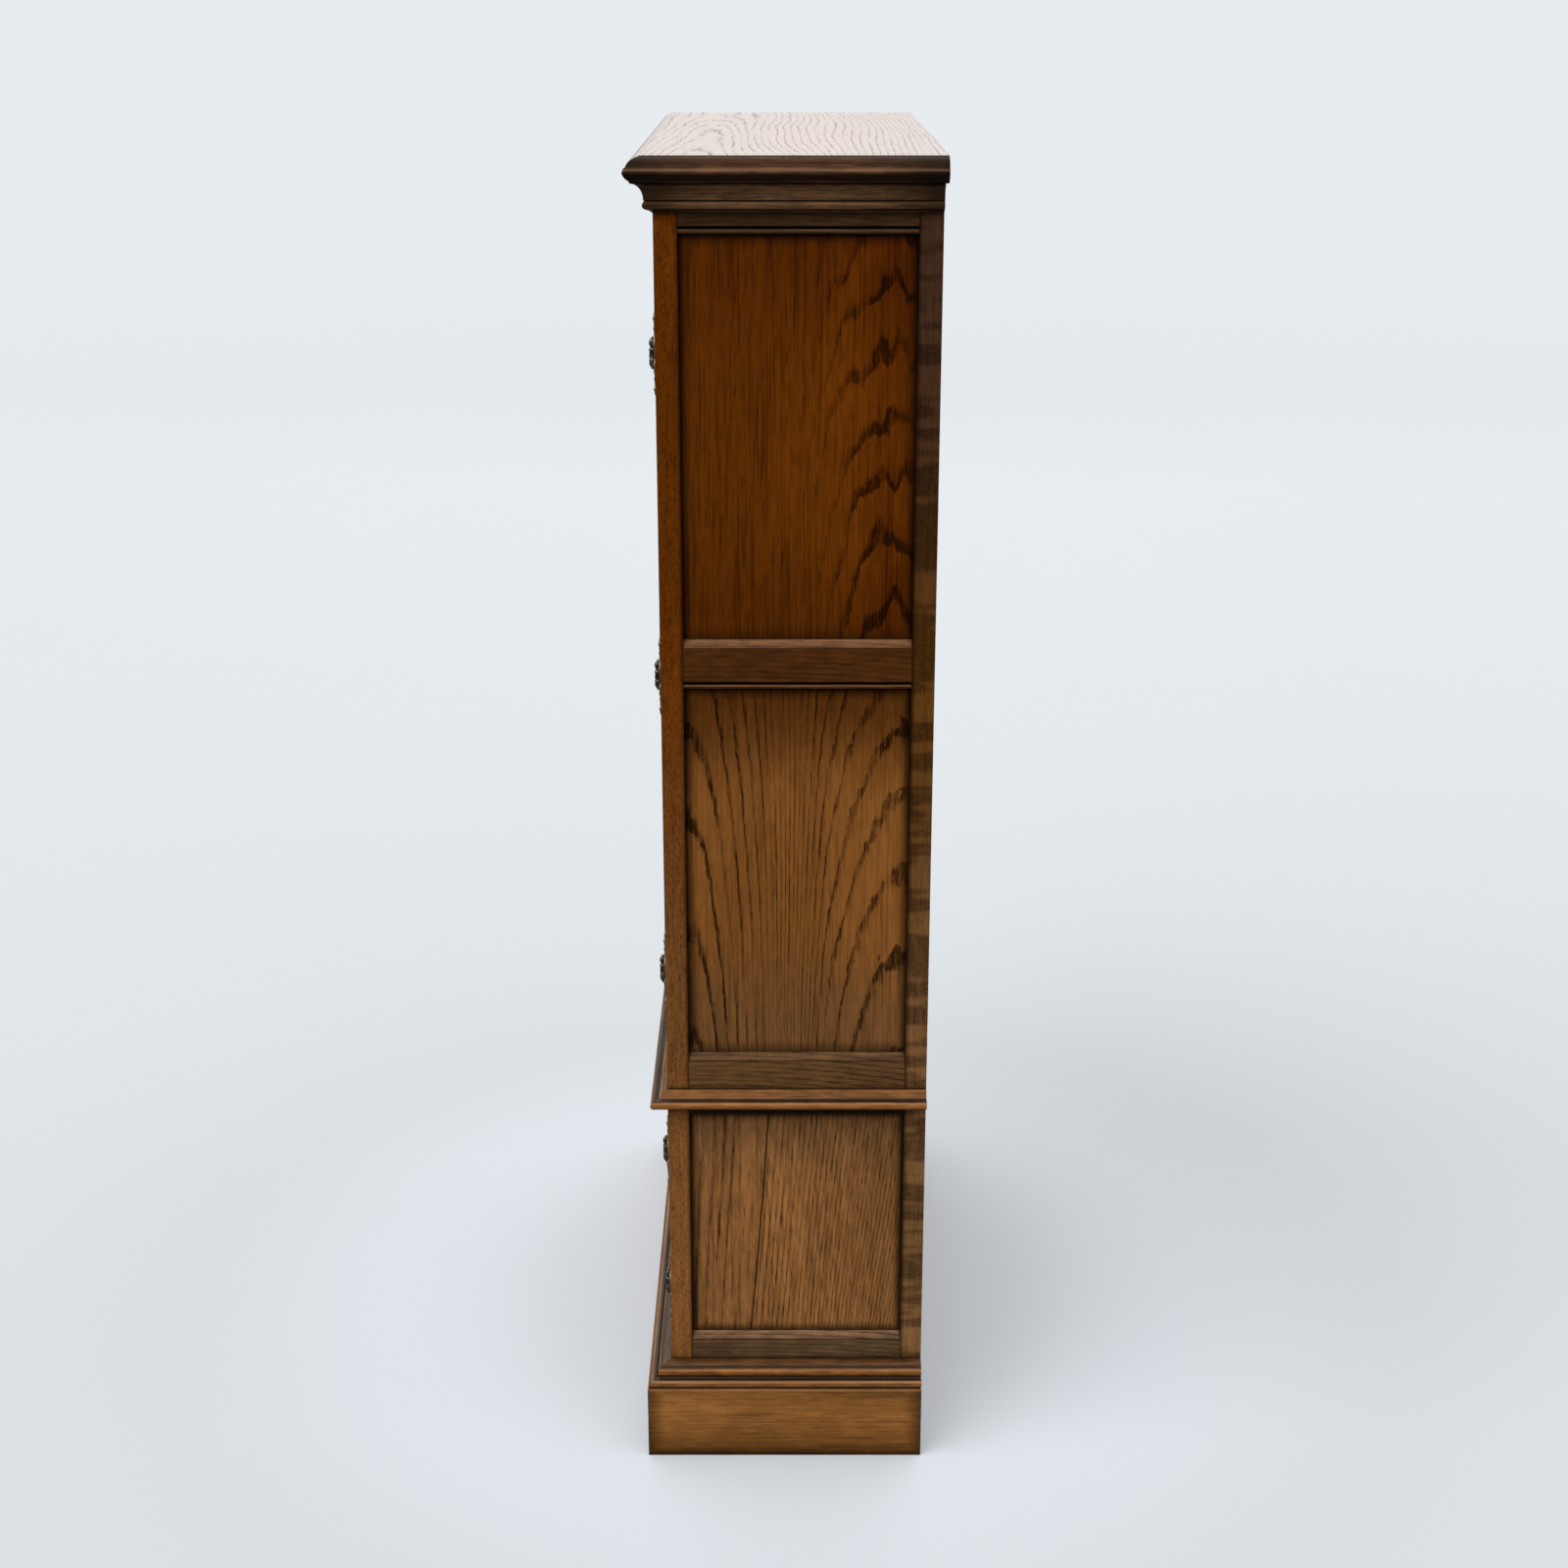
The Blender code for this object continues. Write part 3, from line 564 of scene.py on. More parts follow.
def cut_away(obj, cuts):
    """Boxes taken out of a piece for good."""
    for corners in cuts:
        cutter = linked(f"{obj.name}_cutter", closed_mesh("cutter", cuboid(*corners)))
        modifier = obj.modifiers.new("cut", "BOOLEAN")
        modifier.operation = "DIFFERENCE"
        modifier.solver = "EXACT"
        modifier.object = cutter
    graph = bpy.context.evaluated_depsgraph_get()
    mesh = bpy.data.meshes.new_from_object(obj.evaluated_get(graph))
    for modifier in list(obj.modifiers):
        cutter = modifier.object
        obj.modifiers.remove(modifier)
        bpy.data.objects.remove(cutter)
    obj.data = mesh
    mesh.name = obj.name


def piece(name, bm, material, slot, body="carcass", nodes=(), bevel=0.0, segments=2, smooth=32, cuts=()):
    """A finished piece: its edges eased, its material, the body it rides on and the nodes it stands for."""
    obj = linked(name, closed_mesh(name, bm))
    if cuts:
        cut_away(obj, cuts)
    if bevel:
        modifier = obj.modifiers.new("eased", "BEVEL")
        modifier.width = bevel
        modifier.segments = segments
        modifier.limit_method = "ANGLE"
        modifier.angle_limit = math.radians(40)
    obj.data.shade_smooth()
    obj.data.set_sharp_from_angle(angle=math.radians(smooth))
    if bevel:
        weighted = obj.modifiers.new("weighted", "WEIGHTED_NORMAL")
        weighted.keep_sharp = False
    obj.data.materials.clear()
    obj.data.materials.append(material)
    if nodes:
        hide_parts(*nodes)
    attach(obj, body)
    return obj


def grown(corners, margin):
    """A box's two corners moved outwards by a margin."""
    low, high = corners
    more = Vector((margin, margin, margin))
    return low - more, high + more


def paint(node, material):
    """A new material on a CAD node that keeps its own shape."""
    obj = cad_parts[node]
    obj.data.materials.clear()
    obj.data.materials.append(material)
    return obj


# Mouldings ----
# A section is a list of (overhang from the case, height).
def top_board_section():
    top, depth = TOP_HIGH.z - HAIR, TOP_HIGH.z - TOP_LOW.z
    slope = mm((14.0, 0), (14.9, 0.2), (15.4, 0.9), (18.5, 1.7), (22.0, 3.2), (24.8, 4.9), (27.4, 7.0))
    step = mm((29.3, 9.2), (29.9, 10.6), (30.4, 12.6), (31.2, 13.4), (33.0, 14.2), (33.9, 15.4))
    nose = arc((0.0300, 0.0199), (0.0050, -0.0045), 30, -40, 12)
    under = mm((32.2, 25.9), (30.0, 27.9), (27.2, 30.3)) + [(0.0262, depth - 0.0006), (0.0256, depth)]
    return [(out, top - down) for out, down in slope + step + nose + under]


def bed_moulding_section():
    top = CORNICE_HIGH.z
    cove = arc((0.0268, 1.7766), (0.0160, top - 1.7766), 90, 180, 18)
    step = mm((10.7, 6.2), (10.4, 5.6), (8.8, 5.4), base=1.77)
    bead = arc((0.0070, 1.7700), 0.0054, 68, -82, 14)
    foot = mm((6.4, 4.0), (4.0, 3.2), (3.0, 2.2), (1.2, 1.0), base=1.76)
    return [(GAP, top)] + cove + step + bead + foot + [(GAP, CORNICE_LOW.z)]


def waist_section():
    ogee = [(1.2, 0), (2.6, 0.3), (3.8, 1.2), (5.2, 3.0), (6.6, 5.2), (8.0, 7.4), (9.2, 8.8), (10.4, 9.6)]
    quirk = [(11.6, 10.8), (12.4, 11.2), (13.6, 10.7)]
    nose = arc((0.0176, 0.5535), (0.0055, 0.0065), 112, -78, 18)
    return mm(*ogee, *quirk, base=WAIST_HIGH.z, sign=-1) + nose + mm((17.4, 0.1), (16.6, 0), base=WAIST_LOW.z)


def base_moulding_section():
    bottom, top = BASE_LOW.z, BASE_HIGH.z
    fillet = [(GAP, top)] + mm((2.6, 0), (3.4, 0.3), (9.2, 2.5), (10.2, 3.6), base=top, sign=-1)
    ovolo = arc((0.0115, 0.1262), (0.0078, 0.0092), 78, -38, 16)
    step = mm((18.6, 119.6), (19.0, 119.0))
    bead = arc((0.0232, 0.1150), (0.0072, 0.0046), 124, 0, 14)
    foot = mm((31.4, 114.7), (32.1, 114.0)) + [(0.0322, bottom), (GAP, bottom)]
    return fillet + ovolo + step + bead + foot


def core_board(name, overhang, back, low, high, material, slot, node, cuts=()):
    """The board inside a mitred lipping."""
    x = SIDE_FACE + overhang
    bm = cuboid((-x, CASE_FRONT - overhang, low), (x, back, high))
    return piece(name, bm, material, slot, nodes=[node], bevel=0.0002, cuts=cuts)


def mitred(name, section, materials, slot="oak_moulding", back=CASE_BACK, node=None):
    """Lengths of moulding along the front and both sides, mitred at the front corners."""
    x, y = SIDE_FACE, CASE_FRONT
    front = [[(side * (x + out), y - out, z) for out, z in section] for side in (-1, 1)]
    nodes = [node or f"{name}_front"]
    piece(f"{name}_front", loft(front), materials["front"], slot, nodes=nodes, bevel=0.0003)
    for side, word in SIDES.items():
        ends = [[(side * (x + out), y - out, z) for out, z in section]]
        ends.append([(side * (x + out), back, z) for out, z in section])
        nodes = [node or f"{name}_{word}"]
        piece(f"{name}_{word}", loft(ends), materials[word], slot, nodes=nodes, bevel=0.0003)


# Looks of the oak, piece by piece ----
def tones(pale, dark, **more):
    """Colours between the grain's lines and in them, and what else a look changes."""
    return {"pale": pale, "dark": dark, **more}


MOULDING = dict(
    rings=0.42, pores=0.6, mottle=0.36, rough=0.26, gloss=0.12, spacing=0.0045, wander=0.008, jag=0.0010
)
LIPPING_LOOK = tones((0.110, 0.052, 0.027), (0.016, 0.009, 0.006), gloss=0.05)
CORNICE_LOOK = tones((0.210, 0.110, 0.053), (0.030, 0.014, 0.006))
BASE_LOOK = tones((0.258, 0.101, 0.025), (0.06, 0.022, 0.007), gloss=0.25)
WAIST_LOOK = tones((0.302, 0.121, 0.032), (0.06, 0.022, 0.007), gloss=0.25)
DARK_ENDS = dict(edge_width=0.120, edge_shade=0.80)
FRONT_PAINTED_SHADE = (-1.0, 0.0, (0.88, 1.12, 1.60))  # painted shade: greyer along the front, all the way up
LEDGE_LOOK = tones((0.22, 0.098, 0.036), (0.06, 0.026, 0.010))
TOP_PANEL = tones((0.184, 0.048, 0.0033), (0.034, 0.009, 0.001))
MIDDLE_PANEL = tones((0.318, 0.124, 0.028), (0.040, 0.014, 0.004))
LOWER_PANEL = tones((0.360, 0.160, 0.051), (0.055, 0.024, 0.008))
POST_LOOK = tones((0.290, 0.122, 0.036), (0.100, 0.032, 0.006))
STILE_LOOK = tones((0.270, 0.136, 0.053), (0.060, 0.030, 0.012), bands=0.72, flecks=0.1, pores=0.5)
RAIL_LOOKS = {
    ("upper", "top"): tones((0.083, 0.041, 0.019), (0.020, 0.010, 0.005)),
    ("upper", "middle"): tones((0.103, 0.035, 0.008), (0.030, 0.011, 0.003)),
    ("upper", "bottom"): tones((0.160, 0.080, 0.030), (0.030, 0.016, 0.008)),
    ("lower", "top"): tones((0.030, 0.015, 0.007), (0.010, 0.005, 0.003)),
    ("lower", "bottom"): tones((0.120, 0.069, 0.033), (0.020, 0.012, 0.008)),
}
# painted light: how much paler each up-facing bevel is painted
BEVEL_PAINTED_LIGHT = {
    ("upper", "middle"): (2.6, 3.6, 7.2),
    ("upper", "bottom"): (1.12, 1.18, 1.35),
    ("lower", "bottom"): (1.95, 1.90, 2.1),
}
PLINTH_LOOK = tones((0.335, 0.143, 0.038), (0.120, 0.050, 0.015))
TOP_LOOK = tones((0.17, 0.085, 0.045), (0.025, 0.012, 0.007))
INSIDE_LOOK = tones((0.20, 0.108, 0.050), (0.08, 0.038, 0.016))
SHINE = dict(rough=0.24, gloss=0.5, glint=(1.0, 1.0, 1.0), coat=1.0, painted_crevice_shade=0.0)
# painted shade: darker and redder upwards, as the floor's light and reflection fall on the lower parts
PAINTED_SHADE_UP = (0.66, 1.24, (0.66, 0.41, 0.09))
# the rear stiles' painted shade, darker and redder upwards, then greyer towards the top
REAR_STILE_PAINTED_SHADE = [(0.60, 1.15, (0.62, 0.48, 0.24)), (1.15, 1.65, (0.61, 0.71, 1.95))]


def panel_sight(node):
    """The part of a side panel that shows between the rails and stiles: y and z limits."""
    low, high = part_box(node)
    return [low.y + PANEL_TONGUE, high.y - PANEL_TONGUE, low.z + PANEL_TONGUE, high.z - PANEL_TONGUE]


def top_panel_look(front, rear, low, high):
    """Dark-tipped arches near the rear and plain straight grain towards the front."""
    width = rear - front
    return dict(
        cones=[(front + 0.885 * width, low, 0.050, 0.18, 0.0)], spacing=0.0366, crowd=1.5, tips=(0.080, 0.42),
        wander=0.034, jag=0.0022, flame=0.026, teeth=0.130, rings=1.3, line=0.38, pores=0.85, streaks=0.5,
        focus=(front + 0.46 * width, front + 0.80 * width, 0.06, 1.0), mottle=0.15, gloss=0.04, seed=0.4,
        tints=[(high - 0.20, high - 0.04, (0.82, 0.76, 0.7)), (low + 0.16, low + 0.02, (0.80, 0.76, 0.7))],
        aside=[(front + 0.66 * width, rear - 0.02, (0.80, 0.73, 0.56))],
        edge_width=0.022, edge_shade=0.47, **TOP_PANEL,
    )


def middle_panel_look(front, rear, low, high):
    """Two stacks of arches that lean on the front and rear edges."""
    return dict(
        cones=[(front + 0.010, low, 0.022, 0.10, 0.0), (rear - 0.010, low, 0.11, 0.13, 0.10)], spacing=0.0225,
        crowd=1.32, meet=(front + 0.50 * (rear - front), 0.05, 25.5), tips=(0.075, 0.70), wander=0.016,
        jag=0.0014, flame=0.045, teeth=0.055, rings=1.1, line=0.32, pores=0.6, streaks=0.3, mottle=0.12,
        tints=[(0.98, high - 0.02, (0.42, 0.35, 0.25)), (low + 0.20, low + 0.02, (0.80, 0.92, 1.35))],
        edge_width=0.020, edge_shade=0.6, gloss=0.05, seed=1.9, **MIDDLE_PANEL,
    )


def lower_panel_look(front, rear, low, high):
    """Nearly straight lines that part upwards, beside a plain stripe."""
    width = rear - front
    return dict(
        cones=[(front - 0.02, low, 0.0, 0.0, 0.0)], spacing=0.0070, fan=(front - 0.060, 2.3, low),
        stretch=(front - 0.02, width + 0.02, 1.5), plain=(front + 0.145 * width, front + 0.28 * width),
        tints=[(high - 0.13, high - 0.01, (0.78, 0.83, 0.95))], wander=0.032, jag=0.0026, flame=0.0,
        rings=0.60, line=0.42, pores=0.95, streaks=0.35, mottle=0.20, edge_width=0.016, edge_shade=0.75,
        gloss=0.06, seed=5.1, **LOWER_PANEL,
    )


def side_panels(side):
    word = SIDES[side]
    looks = {"top": top_panel_look, "middle": middle_panel_look, "lower": lower_panel_look}
    for place, panel_look in looks.items():
        sight = panel_sight(f"side_panel_{place}_{word}")
        look = panel_look(*sight)
        look["seed"] += 0.0 if side > 0 else 11.3
        paint(f"side_panel_{place}_{word}", oak(f"oak_panel_{place}_{word}", edges=sight, **look))


def post_oak(name, along, across, seed, **changes):
    """Straight-grained oak for posts, stiles and door boards."""
    look = dict(flecks=0.5, rings=0.3, pores=0.6, mottle=0.14, gloss=0.05, jag=0.0012)
    return oak(name, **{**POST_LOOK, **look, "seed": seed, "along": along, "across": across, **changes})


# Side frames ----
BEAD = 0.0035
QUIRK = 0.003
BEVEL_HEIGHT = 0.0115
SET_BACK = 0.0003
BACK_REBATE = (0.0073, 0.0100)  # depth and width, for the back panel
UPPER_BOTTOM, UPPER_TOP = POST_LOW.z, POST_HIGH.z
LOWER_BOTTOM, LOWER_TOP = LOWER_LOW.z, LOWER_HIGH.z
RAILS = {
    "upper": {
        "bottom": (UPPER_BOTTOM, 0.6235, False, True),
        "middle": (1.148, 1.2155, True, True),
        "top": (1.734, UPPER_TOP, True, False),
    },
    "lower": {"bottom": (LOWER_BOTTOM, 0.183, False, True), "top": (0.531, LOWER_TOP, False, False)},
}
FRAME_PANELS = {"upper": ("top", "middle"), "lower": ("lower",)}


def rail_section(bottom, top, beaded, bevelled):
    """Section of a side rail as (depth behind its face, height)."""
    points = [(FRAME_THICKNESS - 2 * SET_BACK, top), (FRAME_THICKNESS - 2 * SET_BACK, bottom)]
    if beaded:
        quirk = bottom + 2 * BEAD
        points += [(BEAD - out, z) for out, z in arc((0, bottom + BEAD), BEAD, -90, 90, 16)]
        points += [(BEAD + 0.0006, quirk + 0.0006), (BEAD + 0.0006, quirk + QUIRK - 0.0004)]
        points += [(0.0004, quirk + QUIRK), (0, quirk + QUIRK + 0.0004)]
    else:
        points.append((0, bottom))
    if bevelled:
        points += [(0, top - BEVEL_HEIGHT), (PANEL_RECESS - SET_BACK, top)]
    else:
        points.append((0, top))
    return points


def rail_bevel_light(stage, kind, top):
    """Painted light: a bevel faces up into the light, so it is painted paler than the rail's face."""
    edge = top - BEVEL_HEIGHT
    tint = BEVEL_PAINTED_LIGHT.get((stage, kind))
    return [(edge - 0.0012, edge + 0.0012, tint)] if tint else []


def rail_stains(rail):
    """Stain and painted shade along a bead's quirk and a bevel's two edges."""
    bottom, top, beaded, bevelled = rail
    stains = []
    if beaded:
        stains += [(bottom, 0.0012, 0.9), (bottom + 2 * BEAD + QUIRK / 2, 0.0024, 0.95)]
    if bevelled:
        stains += [(top - BEVEL_HEIGHT, 0.0010, 0.75), (top, 0.0016, 0.8)]
    return stains


def side_frame(stage, side):
    """A post, a rear stile and rails, each with its own grain."""
    word = SIDES[side]
    node = f"side_frame_{stage}_{word}"
    rails = RAILS[stage]
    bottom, top = rails["bottom"][0], rails["top"][1]
    grooves = [grown(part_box(f"side_panel_{panel}_{word}"), GAP) for panel in FRAME_PANELS[stage]]
    seed = (3.1 if stage == "upper" else 7.7) + (0 if side > 0 else 20)
    tints = [PAINTED_SHADE_UP] if stage == "upper" else []

    # Painted shade and stain along the post's edge beside the panel.
    edges = (CASE_FRONT - 1, PANEL_FRONT + 0.0005, bottom - 1, top + 1)
    wood = post_oak(f"oak_post_{stage}_{word}", "z", "y", seed, tints=tints, edges=edges, edge_width=0.004)
    bm = cuboid((side * SIDE_FACE, CASE_FRONT, bottom), (side * POST_INNER, PANEL_FRONT, top))
    piece(f"post_{stage}_{word}", bm, wood, "oak_frame", nodes=[node], bevel=0.0009, segments=3, cuts=grooves)

    rebate = CASE_BACK - BACK_REBATE[0]
    inner, lap, outer = (side * x for x in (INNER_FACE, INNER_FACE + BACK_REBATE[1], SIDE_FACE))
    section = [(inner, PANEL_BACK), (outer, PANEL_BACK), (outer, CASE_BACK)]
    section += [(lap, CASE_BACK), (lap, rebate), (inner, rebate)]
    look = dict(tints=REAR_STILE_PAINTED_SHADE if stage == "upper" else [], edge_width=0.004, **STILE_LOOK)
    # Painted shade and stain along the rear stile's edge beside the panel.
    look["edges"] = (PANEL_BACK, CASE_BACK + 1, bottom - 1, top + 1)
    wood = post_oak(f"oak_rear_stile_{stage}_{word}", "z", "y", seed + 1.3, **look)
    bm = extruded(section, "z", bottom, top)
    piece(f"rear_stile_{stage}_{word}", bm, wood, "oak_frame", nodes=[node], bevel=0.0007, cuts=grooves)

    face = SIDE_FACE - SET_BACK
    for index, (kind, rail) in enumerate(rails.items()):
        section = [(side * (face - depth), z) for depth, z in rail_section(*rail)]
        start, end = PANEL_FRONT + JOINT_LINE, PANEL_BACK - JOINT_LINE
        stations = [[(x, y, z) for x, z in section] for y in (start, end)]
        look = dict(RAIL_LOOKS[stage, kind], spacing=0.0068, wander=0.022, jag=0.0012, rings=0.75)
        look.update(pores=0.5, mottle=0.25)
        look["cones"] = [(rail[0] - 0.05 - 0.01 * index, 0.05, 0.03, 0.20, 0.0)]
        # a painted highlight along the bead
        look["rubs"] = [(rail[0] + 1.4 * BEAD, 0.0014, 0.22)] if rail[2] else ()
        look.update(tints=rail_bevel_light(stage, kind, rail[1]), stains=rail_stains(rail), seed=seed + 2.2 + index)
        wood = oak(f"oak_{stage}_{kind}_rail_{word}", across="z", along="y", **look)
        name = f"{stage}_{kind}_rail_{word}"
        piece(name, loft(stations), wood, "oak_frame", nodes=[node], bevel=0.0005, cuts=grooves)


# Case ----
def moulding_look(colours, foot, **changes):
    """Long straight grain, its rings centred a little below the moulding's foot."""
    return {**MOULDING, "cones": [(foot - 0.05, 0.0, 0.02, 0.02, 0.0)], **colours, **changes}


def moulding_oaks(family, seed, look, front=None):
    """An oak for each of a moulding's three lengths, and what is different on the front one."""
    made = {}
    tints = look["tints"]
    for index, word in enumerate(("front", "right", "left")):
        along, low, high = ("x", TOP_LOW.x, TOP_HIGH.x) if word == "front" else ("y", TOP_LOW.y, TOP_HIGH.y)
        changes = {"edges": (-1.0, 3.0, low, high) if "edge_width" in look else None, "seed": seed + index}
        if word == "front":
            changes.update(front or {"tints": [*tints, FRONT_PAINTED_SHADE]})
        made[word] = oak(f"oak_{family}_{word}", across="z", along=along, **{**look, **changes})
    return made


def cornice():
    low, high = CORNICE_LOW.z, CORNICE_HIGH.z
    # Stain and painted shade along the quirks and the joints above and below; a painted highlight on the
    # bead.
    stains = [(high, 0.0035, 0.9), (1.7758, 0.0016, 0.95), (1.7640, 0.0018, 0.95), (low, 0.0016, 0.9)]
    shades = dict(rubs=[(1.7745, 0.0013, 0.42)], tints=[(1.7850, 1.7900, (1.12, 1.10, 1.0))], **DARK_ENDS)
    look = moulding_look(CORNICE_LOOK, low, stains=stains, **shades)
    mitred("cornice", bed_moulding_section(), moulding_oaks("cornice", 13.0, look))


def base_moulding():
    low = BASE_LOW.z
    # Stain and painted shade along the quirks and joints; painted highlights on the raised edges.
    stains = [(0.1343, 0.0018, 0.8), (0.1195, 0.0012, 0.9), (low, 0.0010, 0.9)]
    rubs = [(0.1308, 0.0012, 0.42), (0.1180, 0.0016, 0.42)]
    tints = [(0.1320, 0.1340, (0.33, 0.34, 0.40)), (0.1240, 0.1205, (0.62, 0.58, 0.5))]
    look = moulding_look(BASE_LOOK, low, stains=stains, rubs=rubs, tints=tints)
    mitred("base_moulding", base_moulding_section(), moulding_oaks("base", 17.0, look))


def top_board():
    """A core with a mitred lipping."""
    low, high = TOP_LOW.z, TOP_HIGH.z
    # Stain and painted shade; the widest line is painted shade on the nose's underside.
    stains = [(high - 0.0004, 0.0012, 0.9), (high - 0.0120, 0.0014, 0.4), (high - 0.0250, 0.0080, 0.85)]
    tints = [(high - 0.0110, high - 0.0090, (0.47, 0.42, 0.38))]
    shades = dict(stains=stains, tints=tints, rubs=[(high - 0.0162, 0.0016, 0.36)], **DARK_ENDS)
    look = moulding_look(LIPPING_LOOK, low, cones=[(high - 0.035, -0.12, 0.006, 0.05, 0.0)], **shades)
    looks = moulding_oaks("top_lipping", 21.0, look, front={"edges": None, **SHINE})
    section = [(0.0141, low), (0.0141, high - HAIR)] + top_board_section()
    mitred("top_lipping", section, looks, "oak_top", TOP_HIGH.y, "top_board")
    figure = dict(cones=[(-0.10, 0.70, 0.03, -0.045, 0.0)], spacing=0.0088, wander=0.070, jag=0.005)
    look = dict(figure, flame=0.16, teeth=0.30, rings=0.95, line=0.24, pores=0.35, **TOP_LOOK, **SHINE)
    wood = oak("oak_top_board", across="y", along="x", seed=4.2, **look)
    core_board("top_board_core", 0.0140, TOP_HIGH.y, low, high - HAIR, wood, "oak_top", "top_board")


def waist_board():
    """A core with a mitred lipping, notched for the back panel."""
    low, high = WAIST_LOW.z, WAIST_HIGH.z
    # Stain and painted shade; the last line is painted shade on the underside.
    stains = [(high, 0.0010, 0.7), (high - 0.0110, 0.0014, 0.95), (low, 0.0032, 0.8)]
    tints = [(high - 0.012, high - 0.009, (0.66, 0.62, 0.5))]
    shades = dict(stains=stains, rubs=[(0.5572, 0.0014, 0.42)], tints=tints)
    looks = moulding_oaks("waist_lipping", 25.0, moulding_look(WAIST_LOOK, low, **shades))
    section = [(0.0011, low), (0.0011, high)] + waist_section()[1:]
    mitred("waist_lipping", section, looks, "oak_moulding", CASE_BACK, "waist_board")
    look = dict(spacing=0.008, wander=0.02, jag=0.003, rings=0.7, rough=0.34, seed=8.8, **LEDGE_LOOK)
    wood = oak("oak_waist_board", across="y", along="x", **look)
    cuts = [WAIST_NOTCH]
    core_board("waist_board_core", 0.0010, CASE_BACK, low, high, wood, "oak_moulding", "waist_board", cuts)


def plain_board(name, node, material, slot, bevel, segments=2):
    """A board as big as its node's box."""
    piece(name, cuboid(*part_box(node)), material, slot, nodes=[node], bevel=bevel, segments=segments)


def inside_boards():
    """Shelves, the cupboard's floor, the rails above and below the doors, and the back."""
    look = dict(across="y", along="x", spacing=0.007, wander=0.02, **INSIDE_LOOK)
    for number in (1, 2, 3):
        wood = oak(f"oak_shelf_{number}", jag=0.002, seed=number * 3.3, rough=0.46, **look)
        plain_board(f"shelf_board_{number}", f"shelf_{number}", wood, "oak_inside", 0.0012, 3)
    wood = oak("oak_bottom_board", seed=31.0, rough=0.5, **look)
    plain_board("cupboard_floor", "bottom_board", wood, "oak_inside", 0.0006)
    for index, name in enumerate(("front_rail_top", "front_rail_bottom")):
        wood = post_oak(f"oak_{name}", "x", "z", 40.0 + index, tints=[PAINTED_SHADE_UP])
        plain_board(f"{name}_board", name, wood, "oak_frame", 0.0007)
    paint("back_panel", plywood("back_plywood"))


def upright_pin(x, y, low, high, radius, steps=20):
    """A turned pin along Z with eased ends."""
    ease = radius * 0.25
    profile = [(0, low), (radius - ease, low), (radius, low + ease)]
    profile += [(radius, high - ease), (radius - ease, high), (0, high)]
    bm = turned(profile, steps)
    bm.transform(Matrix.Translation((x, y, 0)))
    return bm


def shelf_pegs():
    """Four turned pegs hold each shelf: a collar against the side and a round arm."""
    for number in (1, 2, 3):
        low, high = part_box(f"shelf_{number}")
        for side, word in SIDES.items():
            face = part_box(f"side_panel_middle_{word}")[0 if side > 0 else 1].x
            for place, y in (("front", low.y + PEG_INSET), ("rear", high.y - PEG_INSET)):
                collar = mm((0, 0), (4.6, 0), (5.0, 0.4), (4.6, 1.6), (2.6, 2.0))
                bm = turned(collar + mm((2.6, 15.8), (2.0, 16.4), (0, 16.6)), 24)
                bm.transform(Matrix.Rotation(-side * math.pi / 2, 4, "Y"))
                bm.transform(Matrix.Translation((face - side * GAP, y, low.z - 0.0026 - GAP)))
                piece(f"shelf_peg_{number}_{place}_{word}", bm, BRONZE, "knob_bronze", smooth=50)


def back_pins():
    """Small domed pins round the back panel's edge, one group."""
    low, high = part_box("back_panel")
    rows = [low.z + 0.012 + (high.z - low.z - 0.024) * step / 9 for step in range(10)]
    columns = [low.x + 0.008 + (high.x - low.x - 0.016) * step / 5 for step in range(6)]
    places = [(x, z) for x in (columns[0], columns[-1]) for z in rows]
    places += [(x, z) for x in columns[1:-1] for z in (rows[0], rows[-1], WAIST_LOW.z + 0.012)]
    heads = []
    for x, z in places:
        profile = mm((0, 0.7), (0.9, 0.6), (1.5, 0.3), (1.6, 0), (0, 0))
        heads.append(turned_on_wall(profile, 16, (x, high.y + 0.0001, z), way=1))
    piece("back_panel_pins", merged(heads), IRON, "hinge_iron", smooth=50)


